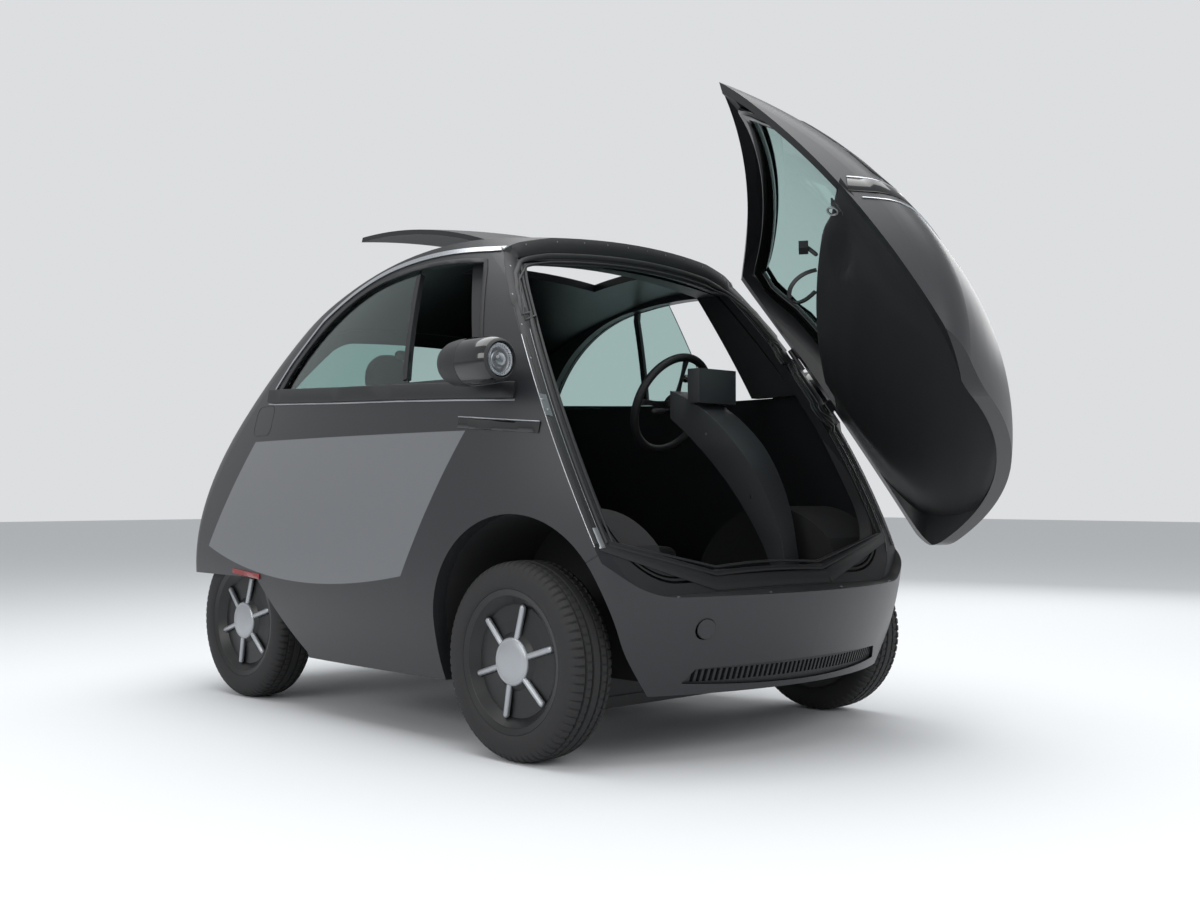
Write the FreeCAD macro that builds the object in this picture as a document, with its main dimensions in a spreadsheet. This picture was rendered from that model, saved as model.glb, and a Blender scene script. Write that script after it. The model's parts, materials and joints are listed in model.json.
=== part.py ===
import FreeCAD, Part
import math
import os
from FreeCAD import Vector as V, Placement, Rotation

# Two-seat electric bubble microcar with one front door, standing with the door open
# Frame: +X forward, +Y the car's left, +Z up, origin on the floor midway between the axles, millimetres
doc = FreeCAD.newDocument("microcar")
sheet = doc.addObject("Spreadsheet::Sheet", "sizes")
# Driving sizes: alias, value, meaning
SIZES = [
    ("wheelbase", 1566, "between the axles"), ("tyre_rad", 266.5, "145/70 R13 tyre"),
    ("tyre_wide", 145, "section width"), ("front_track", 1305, "centre to centre"),
    ("rear_track", 1070, "centre to centre"), ("wall", 45, "body wall, whole thickness"),
    ("door_wall", 38, "front door wall"), ("floor_low", 200, "underside of floor"),
    ("floor_top", 235, "cabin floor"), ("sill_low", 185, "lowest body edge"),
    ("shut_rad", 5190, "shut line seen from the side: a wide arc"), ("shut_cx", -3579, "its centre"),
    ("shut_cz", -1771, "its centre"), ("door_low", 450, "door's lower edge"),
    ("gap", 5, "clearance of moving panels"), ("seat_gap", 0.3, "fit between seated pieces"),
    ("hinge_x", 800, "door hinge line at 1000 up"), ("hinge_y", 660, "door hinge line at 1000 up"),
    ("hinge_back", 31.5, "hinge line's lean to the rear"), ("hinge_in", 10.9, "lean to the centre"),
    ("door_open", 42.9, "door angle as it stands"), ("roof_open", 20.5, "sunroof angle as it stands"),
    ("arch_rad", 312, "front wheel opening"), ("arch_x", 775, "its centre"), ("arch_z", 345, "its centre"),
    ("well_y", 395, "inner face of front wheel well"), ("belt_z", 1035, "foot of the side windows"),
    ("deck_z", 600, "luggage floor underside"), ("pod_rad", 66, "lamp pod"), ("pod_y", 757, "lamp pod"),
    ("pod_z", 1065, "lamp pod"), ("wheel_tilt", 24.2, "steering wheel from upright"),
    ("steer_y", 300, "driver's centre line"), ("bench_wide", 1060, "bench"), ("king_y", 557, "kingpin"),
    ("axle_rad", 24, "rear axle tube"), ("stub_rad", 22, "front stub axle"),
    ("hub_face", 18, "hub's inner face"), ("sun_front", 330, "sunroof opening"),
    ("sun_rear", -375, "sunroof opening"), ("sun_half", 385, "half width"),
    ("sun_wall", 15, "sunroof panel"), ("battery_long", 440, "battery"), ("battery_wide", 600, "battery"),
    ("battery_tall", 130, "battery"), ("motor_long", 240, "motor"), ("motor_wide", 330, "motor"),
    ("motor_tall", 200, "motor"), ("door_corner", 215, "door's lower corners"), ("door_half", 695, "door"),
    ("trim_wide", 14, "roof edge trim"), ("leaf", 8, "hinge leaf"), ("tow_rad", 12, "towing eye thread"),
    ("barrel", 9, "hinge barrel radius"), ("nose_x", 519, "header's edge at its ends"),
    ("nose_mid", 564, "header's edge at the middle"), ("nose_half", 512, "header's half width"),
    ("hole_front", 290, "roof hole under the sunroof"), ("hole_rear", 60, "roof hole"),
    ("hole_half", 300, "roof hole's half width"), ("sun_seat", 20, "depth of the sunroof's recess"),
    ("trim_sheet", 18, "door lining sheet"), ("lining_in", 80, "pillar lining's inner face"),
]
for i, (alias, value, note) in enumerate(SIZES):
    cell = "B%d" % (i + 1)
    sheet.set("A%d" % (i + 1), note)
    sheet.set(cell, str(value))
    sheet.setAlias(cell, alias)
doc.recompute()
S = {a: float(sheet.get(a)) for a, v, n in SIZES}
FX, RX = S["wheelbase"] / 2, -S["wheelbase"] / 2
NODES = []


def add(name, shape):
    "a sub-part from a finished solid"
    if shape.ShapeType == "Compound" and shape.Solids:
        parts = sorted(shape.Solids, key=lambda s: -s.Volume)
        if len(parts) > 1:
            print(name, "offcuts", [(round(p.Volume), p.CenterOfMass) for p in parts[1:]])
        shape = parts[0]
    o = doc.addObject("Part::Feature", name)
    o.Shape = shape
    o.Label = name
    NODES.append(o)
    return o


def prism(points, axis, a, b):
    "closed outline of lines and arcs, extruded from a to b along an axis; a point of three: an arc's middle"
    ax = {"x": V(1, 0, 0), "y": V(0, 1, 0), "z": V(0, 0, 1)}[axis]

    def p3(q):
        if axis == "x":
            return V(a, q[0], q[1])
        if axis == "y":
            return V(q[0], a, q[1])
        return V(q[0], q[1], a)
    edges, i, n = [], 0, len(points)
    while i < n:
        p, q = points[i], points[(i + 1) % n]
        if len(q) == 3:
            r = points[(i + 2) % n]
            edges.append(Part.Arc(p3(p), p3(q), p3(r)).toShape())
            i += 2
        else:
            edges.append(Part.makeLine(p3(p), p3(q)))
            i += 1
    return Part.Face(Part.Wire(edges)).extrude(ax * (b - a))


def block(x0, x1, y0, y1, z0, z1):
    return Part.makeBox(x1 - x0, y1 - y0, z1 - z0, V(x0, y0, z0))


def rod(p, q, r):
    d = V(*q) - V(*p)
    return Part.makeCylinder(r, d.Length, V(*p), d)


def mirror(shape):
    m = shape.mirror(V(0, 0, 0), V(0, 1, 0))
    return m


# Body form: level outlines, each a chain of tangent arcs
# Columns: height, front, rear, half width, widest place, front corner radius, rear corner radius
HULL = [
    (160, 1196, -1200, 668, 350, 84, 100), (300, 1242, -1234, 715, 350, 120, 110),
    (520, 1285, -1238, 737, 350, 130, 120), (780, 1245, -1168, 728, 330, 140, 250),
    (1020, 1105, -965, 690, 300, 150, 305), (1250, 900, -690, 622, 260, 160, 285),
    (1420, 690, -420, 556, 220, 160, 255), (1560, 500, -160, 500, 180, 140, 170),
]
FRONT_ANGLES, REAR_ANGLES = (29, 78), (16, 80)
ROOF = dict(x=360, z=1508, front=1000, rear=1900, crown=2900, turn_front=78, turn_rear=70)


def quarter(dx, half, rc, a1, a2):
    "end and side radii of a quarter outline of three arcs with the corner radius given"
    s1, c1, s2, c2 = math.sin(a1), math.cos(a1), math.sin(a2), math.cos(a2)
    a, b, e = s1, 1 - s2, half - rc * (s2 - s1)
    c, d, f = 1 - c1, c2, dx - rc * (c1 - c2)
    det = a * d - b * c
    return (e * d - b * f) / det, (a * f - e * c) / det


def outline(row, t):
    z, xf, xr, half, xw, rf, rr = row
    a1, a2 = [math.radians(v) for v in FRONT_ANGLES]
    b1, b2 = [math.radians(v) for v in REAR_ANGLES]
    end, side = quarter(xf - xw, half, rf, a1, a2)
    tail, flank = quarter(xw - xr, half, rr, b1, b2)
    pi = math.pi
    segs = [(end, 0, a1), (rf, a1, a2), (side, a2, pi / 2),
            (flank, pi / 2, pi - b2), (rr, pi - b2, pi - b1), (tail, pi - b1, pi)]
    x, y = xf - t, 0.0
    half_chain = []
    for r, u0, u1 in segs:
        r -= t
        cx, cy = x - r * math.cos(u0), y - r * math.sin(u0)
        um = (u0 + u1) / 2
        mid = (cx + r * math.cos(um), cy + r * math.sin(um))
        end_p = (cx + r * math.cos(u1), cy + r * math.sin(u1))
        half_chain.append(((x, y), mid, end_p))
        x, y = end_p
    edges = [Part.Arc(V(a[0], a[1], z), V(b[0], b[1], z), V(c[0], c[1], z)).toShape()
             for a, b, c in half_chain]
    edges += [Part.Arc(V(c[0], -c[1], z), V(b[0], -b[1], z), V(a[0], -a[1], z)).toShape()
              for a, b, c in reversed(half_chain)]
    return Part.Wire(edges)


def roof_form(t):
    zt, rf, rr = ROOF["z"] - t, ROOF["front"] - t, ROOF["rear"] - t
    x, za, h = ROOF["x"], ROOF["z"] - ROOF["crown"], math.pi / 2
    af, ar = math.radians(ROOF["turn_front"]), math.radians(ROOF["turn_rear"])

    def p(r, a):
        return V(x + r * math.cos(a), 0, zt - r + r * math.sin(a))
    f0, f1, f2, g1, g2 = p(rf, h - af), p(rf, h - af / 2), p(rf, h), p(rr, h + ar / 2), p(rr, h + ar)
    w = [Part.Arc(f0, f1, f2).toShape(), Part.Arc(f2, g1, g2).toShape(), Part.makeLine(g2, V(g2.x, 0, za)),
         Part.makeLine(V(g2.x, 0, za), V(f0.x, 0, za)), Part.makeLine(V(f0.x, 0, za), f0)]
    s = Part.Face(Part.Wire(w)).revolve(V(0, 0, za), V(1, 0, 0), 360)
    if s.Volume < 0:
        s.reverse()
    return s


FORMS = {}


def form(t):
    "the body's outer form, moved inward by t"
    if t not in FORMS:
        body = Part.makeLoft([outline(r, t) for r in HULL], True, False)
        if body.Volume < 0:
            body.reverse()
        FORMS[t] = body.common(roof_form(t)).common(block(-2000, 2000, -1000, 1000, S["sill_low"], 1700))
    return FORMS[t]


def shell(a, b):
    return form(a).cut(form(b))


# Regions that split the walls
def shut(z, off=0.0):
    "forward place of the shut face at one height, moved along its normal by off"
    return S["shut_cx"] + math.sqrt((S["shut_rad"] + off) ** 2 - (z - S["shut_cz"]) ** 2)


def ahead(off, back=None):
    "space ahead of the shut face, or between two such faces: a wide arc, bowed forward at the header"
    if back is not None:
        return ahead(off).cut(ahead(back))
    pts = [(3000, 1700), (3000, 0), (shut(0, off), 0), (shut(850, off), 850, 0), (shut(1700, off), 1700)]
    x, mid, half = S["nose_x"] + off, S["nose_mid"] + off, S["nose_half"]
    nose = prism([(x - 300, -half), (x, -half), (mid, 0, 0), (x, half), (x - 300, half)], "z", 1200, 1700)
    return prism(pts, "y", -1000, 1000).cut(nose)


def door_face(low, r, wide=900, top=1700):
    "seen from the front: a tall shape with rounded lower corners"
    k = r * (1 - math.sqrt(0.5))
    return prism([(-wide, top), (-wide, low + r), (-wide + k, low + k, 0), (-wide + r, low),
                  (wide - r, low), (wide - k, low + k, 0), (wide, low + r), (wide, top)], "x", -500, 2000)


def arch(grow=0.0, y0=None, y1=1000):
    r, cx, cz = S["arch_rad"] + grow, S["arch_x"], S["arch_z"]
    y0 = S["well_y"] if y0 is None else y0
    return prism([(cx - r, 0), (cx - r, cz), (cx, cz + r, 0), (cx + r, cz), (cx + r, 0)], "y", y0, y1)


def both(shape):
    return shape.fuse(mirror(shape))


# Roof edge line seen from the side, from the tail to the screen; a point of three is an arc's middle
ROOF_EDGE = [(-565, 1035), (-470, 1150), (-330, 1280), (-150, 1362, 0), (60, 1413), (280, 1430, 0),
             (480, 1424), (1200, 1422)]


def under_trim(up=0.0):
    "space under the roof's edge line, the line moved up"
    pts = [(q[0], q[1] + up) + tuple(q[2:]) for q in ROOF_EDGE]
    first = pts[0]
    return prism([(-2000, 0), (-2000, first[1])] + pts + [(1200, 0)], "y", -1000, 1000)


G, SG = S["gap"], S["seat_gap"]
wall_shell = shell(0, S["wall"])
behind = block(-2000, 3000, -1000, 1000, 0, 1700).cut(ahead(-2.5))
rear_low = prism([(-2000, 0), (-2000, 410), (-552, 430), (-270, 205), (-270, 0)], "y", -1000, 1000)
rear_wheel_room = both(Part.makeCylinder(302, 300, V(RX, 390, S["tyre_rad"]), V(0, 1, 0))).common(form(10))


def rear_face(y0, y1, z0, z1, r):
    "seen from behind: trapezoid, half width y0 at z0 and y1 at z1"
    pts = [(-y0 + r, z0), (y0 - r, z0), (y0 - r * 0.29, z0 + r * 0.29, 0), (y0, z0 + r), (y1, z1 - r),
           (y1 - r * 0.29, z1 - r * 0.29, 0), (y1 - r, z1), (-y1 + r, z1), (-y1 + r * 0.29, z1 - r * 0.29, 0),
           (-y1, z1 - r), (-y0, z0 + r), (-y0 + r * 0.29, z0 + r * 0.29, 0)]
    return prism(pts, "x", -2000, -250)


GATE_X, GATE_Z, GATE_LEAN = -900, 980, 35


def gate_prism(y0, y1, z0, z1, r):
    "the same, set square to the tail's slope"
    g = rear_face(y0, y1, GATE_Z + z0, GATE_Z + z1, r)
    g.translate(V(500, 0, 0))
    g.rotate(V(GATE_X, 0, GATE_Z), V(0, 1, 0), GATE_LEAN)
    return g


GATE = dict(low=-440, top=520, half_low=505, half_top=456)
gate_room = gate_prism(GATE["half_low"], GATE["half_top"], GATE["low"], GATE["top"], 60)
gate_form = gate_prism(GATE["half_low"] - G, GATE["half_top"] - G, GATE["low"] + G, GATE["top"] - G, 55)
rear_pane = gate_prism(445, 398, 20, 440, 60)
rear_pane_seat = gate_prism(445 - SG, 398 - SG, 20 + SG, 440 - SG, 60)
tail_room = prism([(-2000, 300), (-2000, 800), (-985, 800), (-1040, 300)], "y", -1000, 1000)

# Walls behind the shut line
back_shell = wall_shell.common(behind).cut(rear_low)
arches = both(arch())
roof_room = block(-2000, 1200, -1000, 1000, ROOF_EDGE[0][1], 1700).cut(under_trim())
sun_x0, sun_x1, sun_y = S["sun_rear"], S["sun_front"], S["sun_half"]
sun_room = block(S["hole_rear"], S["hole_front"], -S["hole_half"], S["hole_half"], 1200, 1700)
sun_seat = shell(0, S["sun_seat"]).common(block(sun_x0, sun_x1, -sun_y, sun_y, 1200, 1700))
roof_shell = back_shell.common(roof_room).cut(gate_room).cut(sun_room).cut(sun_seat)
bump_side = prism([(shut(556, -2.5), 556), (962, 502), (962, 0), (2000, 0), (2000, 556)], "y", -1000, 1000)
side_shell = back_shell.cut(roof_room).cut(gate_room).cut(tail_room).cut(bump_side)
WINDOW = [(600, S["belt_z"]), (478, 1380), (270, 1393, 0), (60, 1378), (-225, 1293, 0), (-462, 1098),
          (-500, S["belt_z"])]
WINDOW_SEAT = [(598, S["belt_z"] + SG), (477, 1379), (270, 1392, 0), (60, 1377), (-225, 1292, 0),
               (-461, 1098), (-499, S["belt_z"] + SG)]
window_right = prism(WINDOW, "y", -1000, -300)
side_right = side_shell.common(block(-2000, 2000, -1000, 0, 0, 1700)).cut(window_right).cut(arches)
side_right = side_right.cut(rear_wheel_room)
add("side_panel_right", side_right)
add("tail_panel", back_shell.common(tail_room).cut(gate_room).cut(rear_wheel_room))
gate = back_shell.common(gate_form).cut(rear_pane)
# Gate hinges: columns: side of the car, roof barrel's inner end; the gate's barrel lies outboard of it
GATE_HINGE, HINGE_LONG = V(-476, 0, 1318), 28
for side, y in ((-1, 120), (1, 120)):
    a, b, c = side * y, side * (y + HINGE_LONG), side * (y + HINGE_LONG + SG)
    d = side * (y + 2 * HINGE_LONG + SG)
    gx, gz = GATE_HINGE.x, GATE_HINGE.z
    near, far = rod((gx, a, gz), (gx, b, gz), 7), rod((gx, c, gz), (gx, d, gz), 7)
    near_room = rod((gx, a - side * 3, gz), (gx, b + side * SG, gz), 34)
    near_room = near_room.common(block(gx - 11, gx + 40, -400, 400, 0, 1700))
    far_room = rod((gx, b, gz), (gx, d + side * 3, gz), 11)
    roof_leaf = block(gx, gx + 24, min(a, b), max(a, b), gz - 16, gz - 3)
    gate_leaf = block(gx - 24, gx, min(c, d), max(c, d), gz - 30, gz - 10)
    gate_leaf = gate_leaf.fuse(block(gx - 9, gx, min(c, d), max(c, d), gz - 12, gz))
    roof_shell = roof_shell.cut(far_room).fuse(near.fuse(roof_leaf))
    gate = gate.cut(near_room).fuse(far.fuse(gate_leaf))
add("tailgate", gate)
add("tailgate_glass", shell(10, 15).common(rear_pane_seat))
glass_right = shell(10, 15).common(prism(WINDOW_SEAT, "y", -1000, -300))
glass_right = glass_right.common(prism([(-600, 900), (-600, 1500), (150, 1500), (315, 900)], "y", -1000, 0))
add("side_glass_right", glass_right)
add("side_glass_left", mirror(glass_right))

# Bright trim along the roof edge
half_trim = S["trim_wide"] / 2
trim_slab = under_trim(half_trim).cut(under_trim(-half_trim)).common(block(-545, 1200, -1000, 0, 1040, 1700))
trim_right = shell(-5, -SG).common(trim_slab).common(behind).cut(gate_room)
add("roof_trim_right", trim_right)
add("roof_trim_left", mirror(trim_right))

# Sunroof, hinged at its front edge, raised at its rear
sun_panel = block(sun_x0 + G, sun_x1 - G, -sun_y + G, sun_y - G, 1200, 1700)
sun = shell(0, S["sun_wall"]).common(sun_panel)
SUN_AXIS = V(sun_x1 - 12, 0, 1496)
LUG_Y, LUG_HALF, LUG_RAD = 150, 10, 6
for y in (-LUG_Y, LUG_Y):
    a, b = y - LUG_HALF, y + LUG_HALF
    sun = sun.cut(block(SUN_AXIS.x - LUG_RAD - 2, sun_x1 + 1, a - SG, b + SG, 1400, 1600))
    lug = rod((SUN_AXIS.x, a, SUN_AXIS.z), (SUN_AXIS.x, b, SUN_AXIS.z), LUG_RAD)
    tab = block(SUN_AXIS.x, sun_x1 + 6, a, b, SUN_AXIS.z - LUG_RAD, SUN_AXIS.z + LUG_RAD)
    roof_shell = roof_shell.fuse(lug.fuse(tab))
add("roof_panel", roof_shell)
sun.rotate(SUN_AXIS, V(0, 1, 0), S["roof_open"])
add("sunroof_panel", sun)

# Front bumper with its lip under the door
BUMP_SEAT = [(shut(556, -2.5), 555.7), (962.3, 501.7), (962.3, 0), (2000, 0), (2000, 555.7)]
bump_seat = prism(BUMP_SEAT, "y", -1000, 1000)
lip = form(0).common(block(0, 1400, -1000, 1000, 400, 444.5)).common(ahead(SG - 41))
door_gap = door_face(S["door_low"] - G, S["door_corner"] + G, S["door_half"] + G)
door_gap = door_gap.common(ahead(-2.5))
bumper = wall_shell.common(bump_seat).cut(door_gap)
bumper = bumper.fuse(lip).cut(arches)
GRILLE = [(-430, 216), (0, 200, 0), (430, 216), (400, 254), (0, 260, 0), (-400, 254)]
GRILLE_SEAT = [(-429, 217), (0, 201, 0), (429, 217), (399, 253), (0, 259, 0), (-399, 253)]
SLATS, SLAT_PITCH, SLAT_SLOT = 45, 18, 10
grille_room = prism(GRILLE, "x", 900, 1400)
bumper = bumper.cut(grille_room)
TOW_Y, TOW_Z, TOW_X0, TOW_X1 = -400, 360, 1100, 1160
bumper = bumper.fuse(rod((TOW_X0, TOW_Y, TOW_Z), (TOW_X1, TOW_Y, TOW_Z), 22))
bumper = bumper.cut(rod((TOW_X0 - 50, TOW_Y, TOW_Z), (TOW_X1, TOW_Y, TOW_Z), S["tow_rad"]))
bumper = bumper.cut(rod((TOW_X1, TOW_Y, TOW_Z), (TOW_X1 + 200, TOW_Y, TOW_Z), 28))
add("front_bumper", bumper)
bars = shell(10, S["door_wall"]).common(prism(GRILLE_SEAT, "x", 900, 1400))
SLAT_LOW, SLAT_TOP = 218, 251
slots = [block(900, 1400, -SLAT_SLOT / 2, SLAT_SLOT / 2, SLAT_LOW, SLAT_TOP) for i in range(SLATS)]
for i, slot in enumerate(slots):
    slot.translate(V(0, (i - (SLATS - 1) / 2) * SLAT_PITCH, 0))
bars = bars.cut(Part.makeCompound(slots))
add("front_grille", bars)

# Ring round the door opening, inside the walls
IN = S["wall"] + SG
ring = form(IN).common(ahead(-40, -3)).common(block(0, 1400, -1000, 1000, 444.8, 1700))

def tube(inset, grow):
    "the opening's form at one depth, its lower corners moved out to match"
    return form(inset).common(door_face(500 - grow, 190 + grow, 590 + grow))


ring = ring.cut(tube(80, 0))
for deep, shallow, ahead_to in ((72, 66, -16), (60, 53, -22)):
    ring = ring.cut(tube(shallow, 80 - shallow).cut(tube(deep, 80 - deep)).common(ahead(ahead_to, 0)))
# Deep lining of the pillars and header behind the ring; its rear edge leans with the pillar
LINING = [(shut(1560, -38), 1560), (375, 1560), (375, 1400), (530, 1036), (shut(1036, -38), 1036)]
lining = form(IN).common(prism(LINING, "y", -1000, 1000)).cut(form(S["lining_in"])).cut(ahead(-38))
add("door_opening_frame", ring.fuse(lining))

# Front door, made shut and then swung open about its hinge line
back, inward = math.radians(S["hinge_back"]), math.radians(S["hinge_in"])
HINGE_P = V(S["hinge_x"], S["hinge_y"], 1000)
HINGE_D = V(-math.sin(back) * math.cos(inward), -math.sin(inward), math.cos(back) * math.cos(inward))


def swing(shape):
    s = shape.copy()
    s.rotate(HINGE_P, HINGE_D, S["door_open"])
    return s


door_room = ahead(2.5).common(door_face(S["door_low"], S["door_corner"], S["door_half"]))
SCREEN = [(-592, 1010), (0, 1000, 0), (592, 1010), (456, 1398), (0, 1440, 0), (-456, 1398)]
SCREEN_SEAT = [(-591, 1011), (0, 1001, 0), (591, 1011), (455, 1397), (0, 1439, 0), (-455, 1397)]
door = shell(0, S["door_wall"]).common(door_room).cut(prism(SCREEN, "x", 0, 1600))

# Hinges: barrels on the hinge line, each with a leaf into its wall
# Columns: lower end, upper end, forward, outward
HINGES = [(-70, -30, -0.62, -0.78), (150, 190, -0.62, -0.78)]
side_left = mirror(side_right)
for low, top, fx, fy in HINGES:
    foot, mid, head = [HINGE_P + HINGE_D * t for t in (low, top, 2 * top - low)]
    turn = Rotation(V(fx, fy, 0), V(0, 0, 0), HINGE_D, "ZXY")
    turn_door = Rotation(V(-fx * 0.8, fy, 0), V(0, 0, 0), HINGE_D, "ZXY")
    barrel = Part.makeCylinder(S["barrel"], top - low, foot, HINGE_D)
    leaf = Part.makeBox(36, S["leaf"], top - low, V(0, -S["leaf"] / 2, 0))
    body_leaf = leaf.copy()
    body_leaf.Placement = Placement(foot, turn)
    side_left = side_left.cut(Part.makeCylinder(24, top - low + 8, mid - HINGE_D * 4, HINGE_D))
    side_left = side_left.fuse(barrel.fuse(body_leaf))
    door = door.cut(Part.makeCylinder(19, top - low + 8, foot - HINGE_D * 4, HINGE_D))
    door_barrel = Part.makeCylinder(S["barrel"], top - low, mid + HINGE_D * SG, HINGE_D)
    door_leaf = leaf.copy()
    door_leaf.Placement = Placement(mid + HINGE_D * SG, turn_door)
    door = door.fuse(door_barrel.fuse(door_leaf))
add("side_panel_left", side_left)
add("door_shell", swing(door))
screen = shell(10, 15).common(door_room).common(prism(SCREEN_SEAT, "x", 400, 1600))
add("windscreen", swing(screen))
# Door lining seen from the side: a bowed sheet from under the screen to the shell's lower edge, with a ledge
T = S["trim_sheet"]
SHEET = [(817, 985), (1000, 690, 0), (1240, 450), (1240 + T, 450), (1000 + T * 0.8, 690 + T * 0.6, 0),
         (817 + T, 985)]
bowed = prism(SHEET, "y", -1000, 1000).fuse(block(828, 1400, -1000, 1000, 970, 985))
add("door_trim", swing(form(S["door_wall"] + SG).common(door_room).common(bowed)))
light = shell(-5, -SG).common(block(600, 1500, -470, 470, 925, 948)).common(door_room)
add("door_light_bar", swing(light))

# Floor with the front wheel wells and the front wall
LINER = 12
floor = form(IN).common(block(-330, 1100, -1000, 1000, S["floor_low"], S["floor_top"])).cut(arches)
liner = arch(LINER, S["well_y"] - LINER, 900).cut(arch(0, S["well_y"], 1000))
liner = liner.common(form(IN)).common(block(300, 1150, 0, 1000, S["floor_low"], 700))
ring_rear = block(-2000, 3000, -1000, 1000, 0, 1700).cut(ahead(-41))
liner = liner.common(ring_rear.fuse(block(0, 1400, -1000, 1000, 0, 399)))
floor = floor.fuse(both(liner))
front_wall = block(1085, 1100, -384, 384, S["floor_low"], 399)
floor = floor.fuse(front_wall.common(form(IN)))
rear_wall = form(IN).common(block(-345, -330, -1000, 1000, S["floor_low"], S["deck_z"] + 20))
floor = floor.fuse(rear_wall)
add("floor_pan", floor)
deck = form(IN).common(block(-1250, -345.3, -1000, 1000, S["deck_z"], S["deck_z"] + 20))
add("rear_deck", deck)

# Heavy blocks, sizes bound to the sheet
BLOCKS = [  # name, rear end, underside
    ("battery", -300, S["floor_top"] + SG), ("motor", -905, S["tyre_rad"] + S["axle_rad"] + SG),
]
for kind, x, z in BLOCKS:
    name = kind + "_block"
    o = doc.addObject("Part::Box", name)
    for side, word in (("Length", "long"), ("Width", "wide"), ("Height", "tall")):
        o.setExpression(side, "sizes.%s_%s" % (kind, word))
    o.Placement = Placement(V(x, -S[kind + "_wide"] / 2, z), Rotation())
    o.Label = name
    NODES.append(o)

# Wheels: tyre section and rim section turned about the axle
W2 = S["tyre_wide"] / 2
TR = S["tyre_rad"]
TYRE = [(-55.6, 181), (-59.6, 192.4), (-66.5, 192.4), (-W2, 206), (-W2, 228), (-66, 250), (-54, TR - 4),
        (-38, TR), (38, TR), (54, TR - 4), (66, 250), (W2, 228), (W2, 206), (66.5, 192.4), (59.6, 192.4),
        (55.6, 181)]
RIM = [(-66, 192), (-66, 172), (-30, 160), (28, 160), (30, 60), (S["hub_face"], 40), (S["hub_face"], 0),
       (64, 0), (62, 34), (56, 62), (44, 78), (40, 112), (38, 150), (60, 172), (66, 192), (60, 192),
       (56, 180.6), (-56, 180.6), (-60, 192)]


def turned(section, side):
    "section of (axial, radius) points, outer face toward side, turned about the wheel's axle"
    edges, i, n = [], 0, len(section)
    P = lambda q: V(0, side * q[0], q[1])
    while i < n:
        p, q = section[i], section[(i + 1) % n]
        if len(q) == 3:
            edges.append(Part.Arc(P(p), P(q), P(section[(i + 2) % n])).toShape())
            i += 2
        else:
            edges.append(Part.makeLine(P(p), P(q)))
            i += 1
    s = Part.Face(Part.Wire(edges)).revolve(V(0, 0, 0), V(0, 1, 0), 360)
    if s.Volume < 0:
        s.reverse()
    return s


def arms(side):
    out = None
    for k in range(6):
        a = math.radians(60 * k + 17)
        u = V(math.cos(a), 0, math.sin(a))
        p, q = u * 48 + V(0, side * 49, 0), u * 150 + V(0, side * 43, 0)
        one = rod(tuple(p), tuple(q), 7)
        out = one if out is None else out.fuse(one)
    return out


WHEELS = [("front_right", FX, -1, S["front_track"] / 2), ("front_left", FX, 1, S["front_track"] / 2),
          ("rear_right", RX, -1, S["rear_track"] / 2), ("rear_left", RX, 1, S["rear_track"] / 2)]
for where, x, side, y in WHEELS:
    place = V(x, side * y, S["tyre_rad"])
    tyre = turned(TYRE, side)
    tyre.translate(place)
    add("tyre_" + where, tyre)
    wheel = turned(RIM, side).fuse(arms(side))
    wheel.translate(place)
    add("wheel_" + where, wheel)

# Knuckles, front beam and rear axle
HZ, KY = S["tyre_rad"], S["king_y"]
for name, side in (("knuckle_right", -1), ("knuckle_left", 1)):
    stub_end = S["front_track"] / 2 + S["hub_face"] - SG
    stub = rod((FX, side * KY, HZ), (FX, side * stub_end, HZ), S["stub_rad"])
    y0, y1 = sorted((side * (KY - 12), side * (KY + 13)))
    plate = block(FX - 30, FX + 30, y0, y1, 150, 400)
    king = rod((FX, side * KY, 144 + SG), (FX, side * KY, 400), 20)
    add(name, stub.fuse(plate).fuse(king))
beam = block(FX - 35, FX + 35, -570, 570, 112, 144)
rise = block(FX - 30, FX + 30, -380, 380, 112, S["floor_low"] - SG)
add("front_beam", beam.fuse(rise))
axle_end = S["rear_track"] / 2 + S["hub_face"] - SG
axle = rod((RX, -axle_end, HZ), (RX, axle_end, HZ), S["axle_rad"])
for s in (-1, 1):
    axle = axle.fuse(block(RX - 20, -345.3, s * 380 - 20, s * 380 + 20, 240, 285))
axle = axle.fuse(block(-375, -345.3, -400, 400, 215, 300))
for s in (-1, 1):
    axle = axle.fuse(rod((RX + 40, s * 380, 265), (RX + 40, s * 380, S["deck_z"] - SG), 22))
add("rear_axle", axle)

# Bench, cushions and headrests
bw = S["bench_wide"] / 2
seat_base = block(-325, 250, -bw, bw, S["floor_top"] + SG, 430)
seat_base = seat_base.cut(block(-313, 238, -bw + 12, bw - 12, 0, 418))
add("bench_base", seat_base.common(form(IN)))
cushion = block(-250, 262, -bw + 5, bw - 5, 430.3, 530)
cushion = cushion.makeFillet(28, [e for e in cushion.Edges if e.BoundBox.ZMin > 500])
add("seat_cushion", cushion)
BACK = [(-322, 431), (-252, 431), (-250, 531), (-330, 980), (-400, 980), (-400, 640), (-322, 640)]
back_pad = prism(BACK, "y", -bw + 5, bw - 5)
add("seat_back", back_pad.common(form(IN)))
for name, s in (("headrest_right", -1), ("headrest_left", 1)):
    disc = Part.makeCylinder(80, 55, V(-385, s * 290, 1110), V(1, 0, -0.1))
    posts = rod((-362, s * 290 - 30, 980.3), (-362, s * 290 - 30, 1100), 6)
    posts = posts.fuse(rod((-362, s * 290 + 30, 980.3), (-362, s * 290 + 30, 1100), 6))
    add(name, disc.fuse(posts))

# Steering arm with its display, steering wheel, pedals
SY = S["steer_y"]
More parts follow.
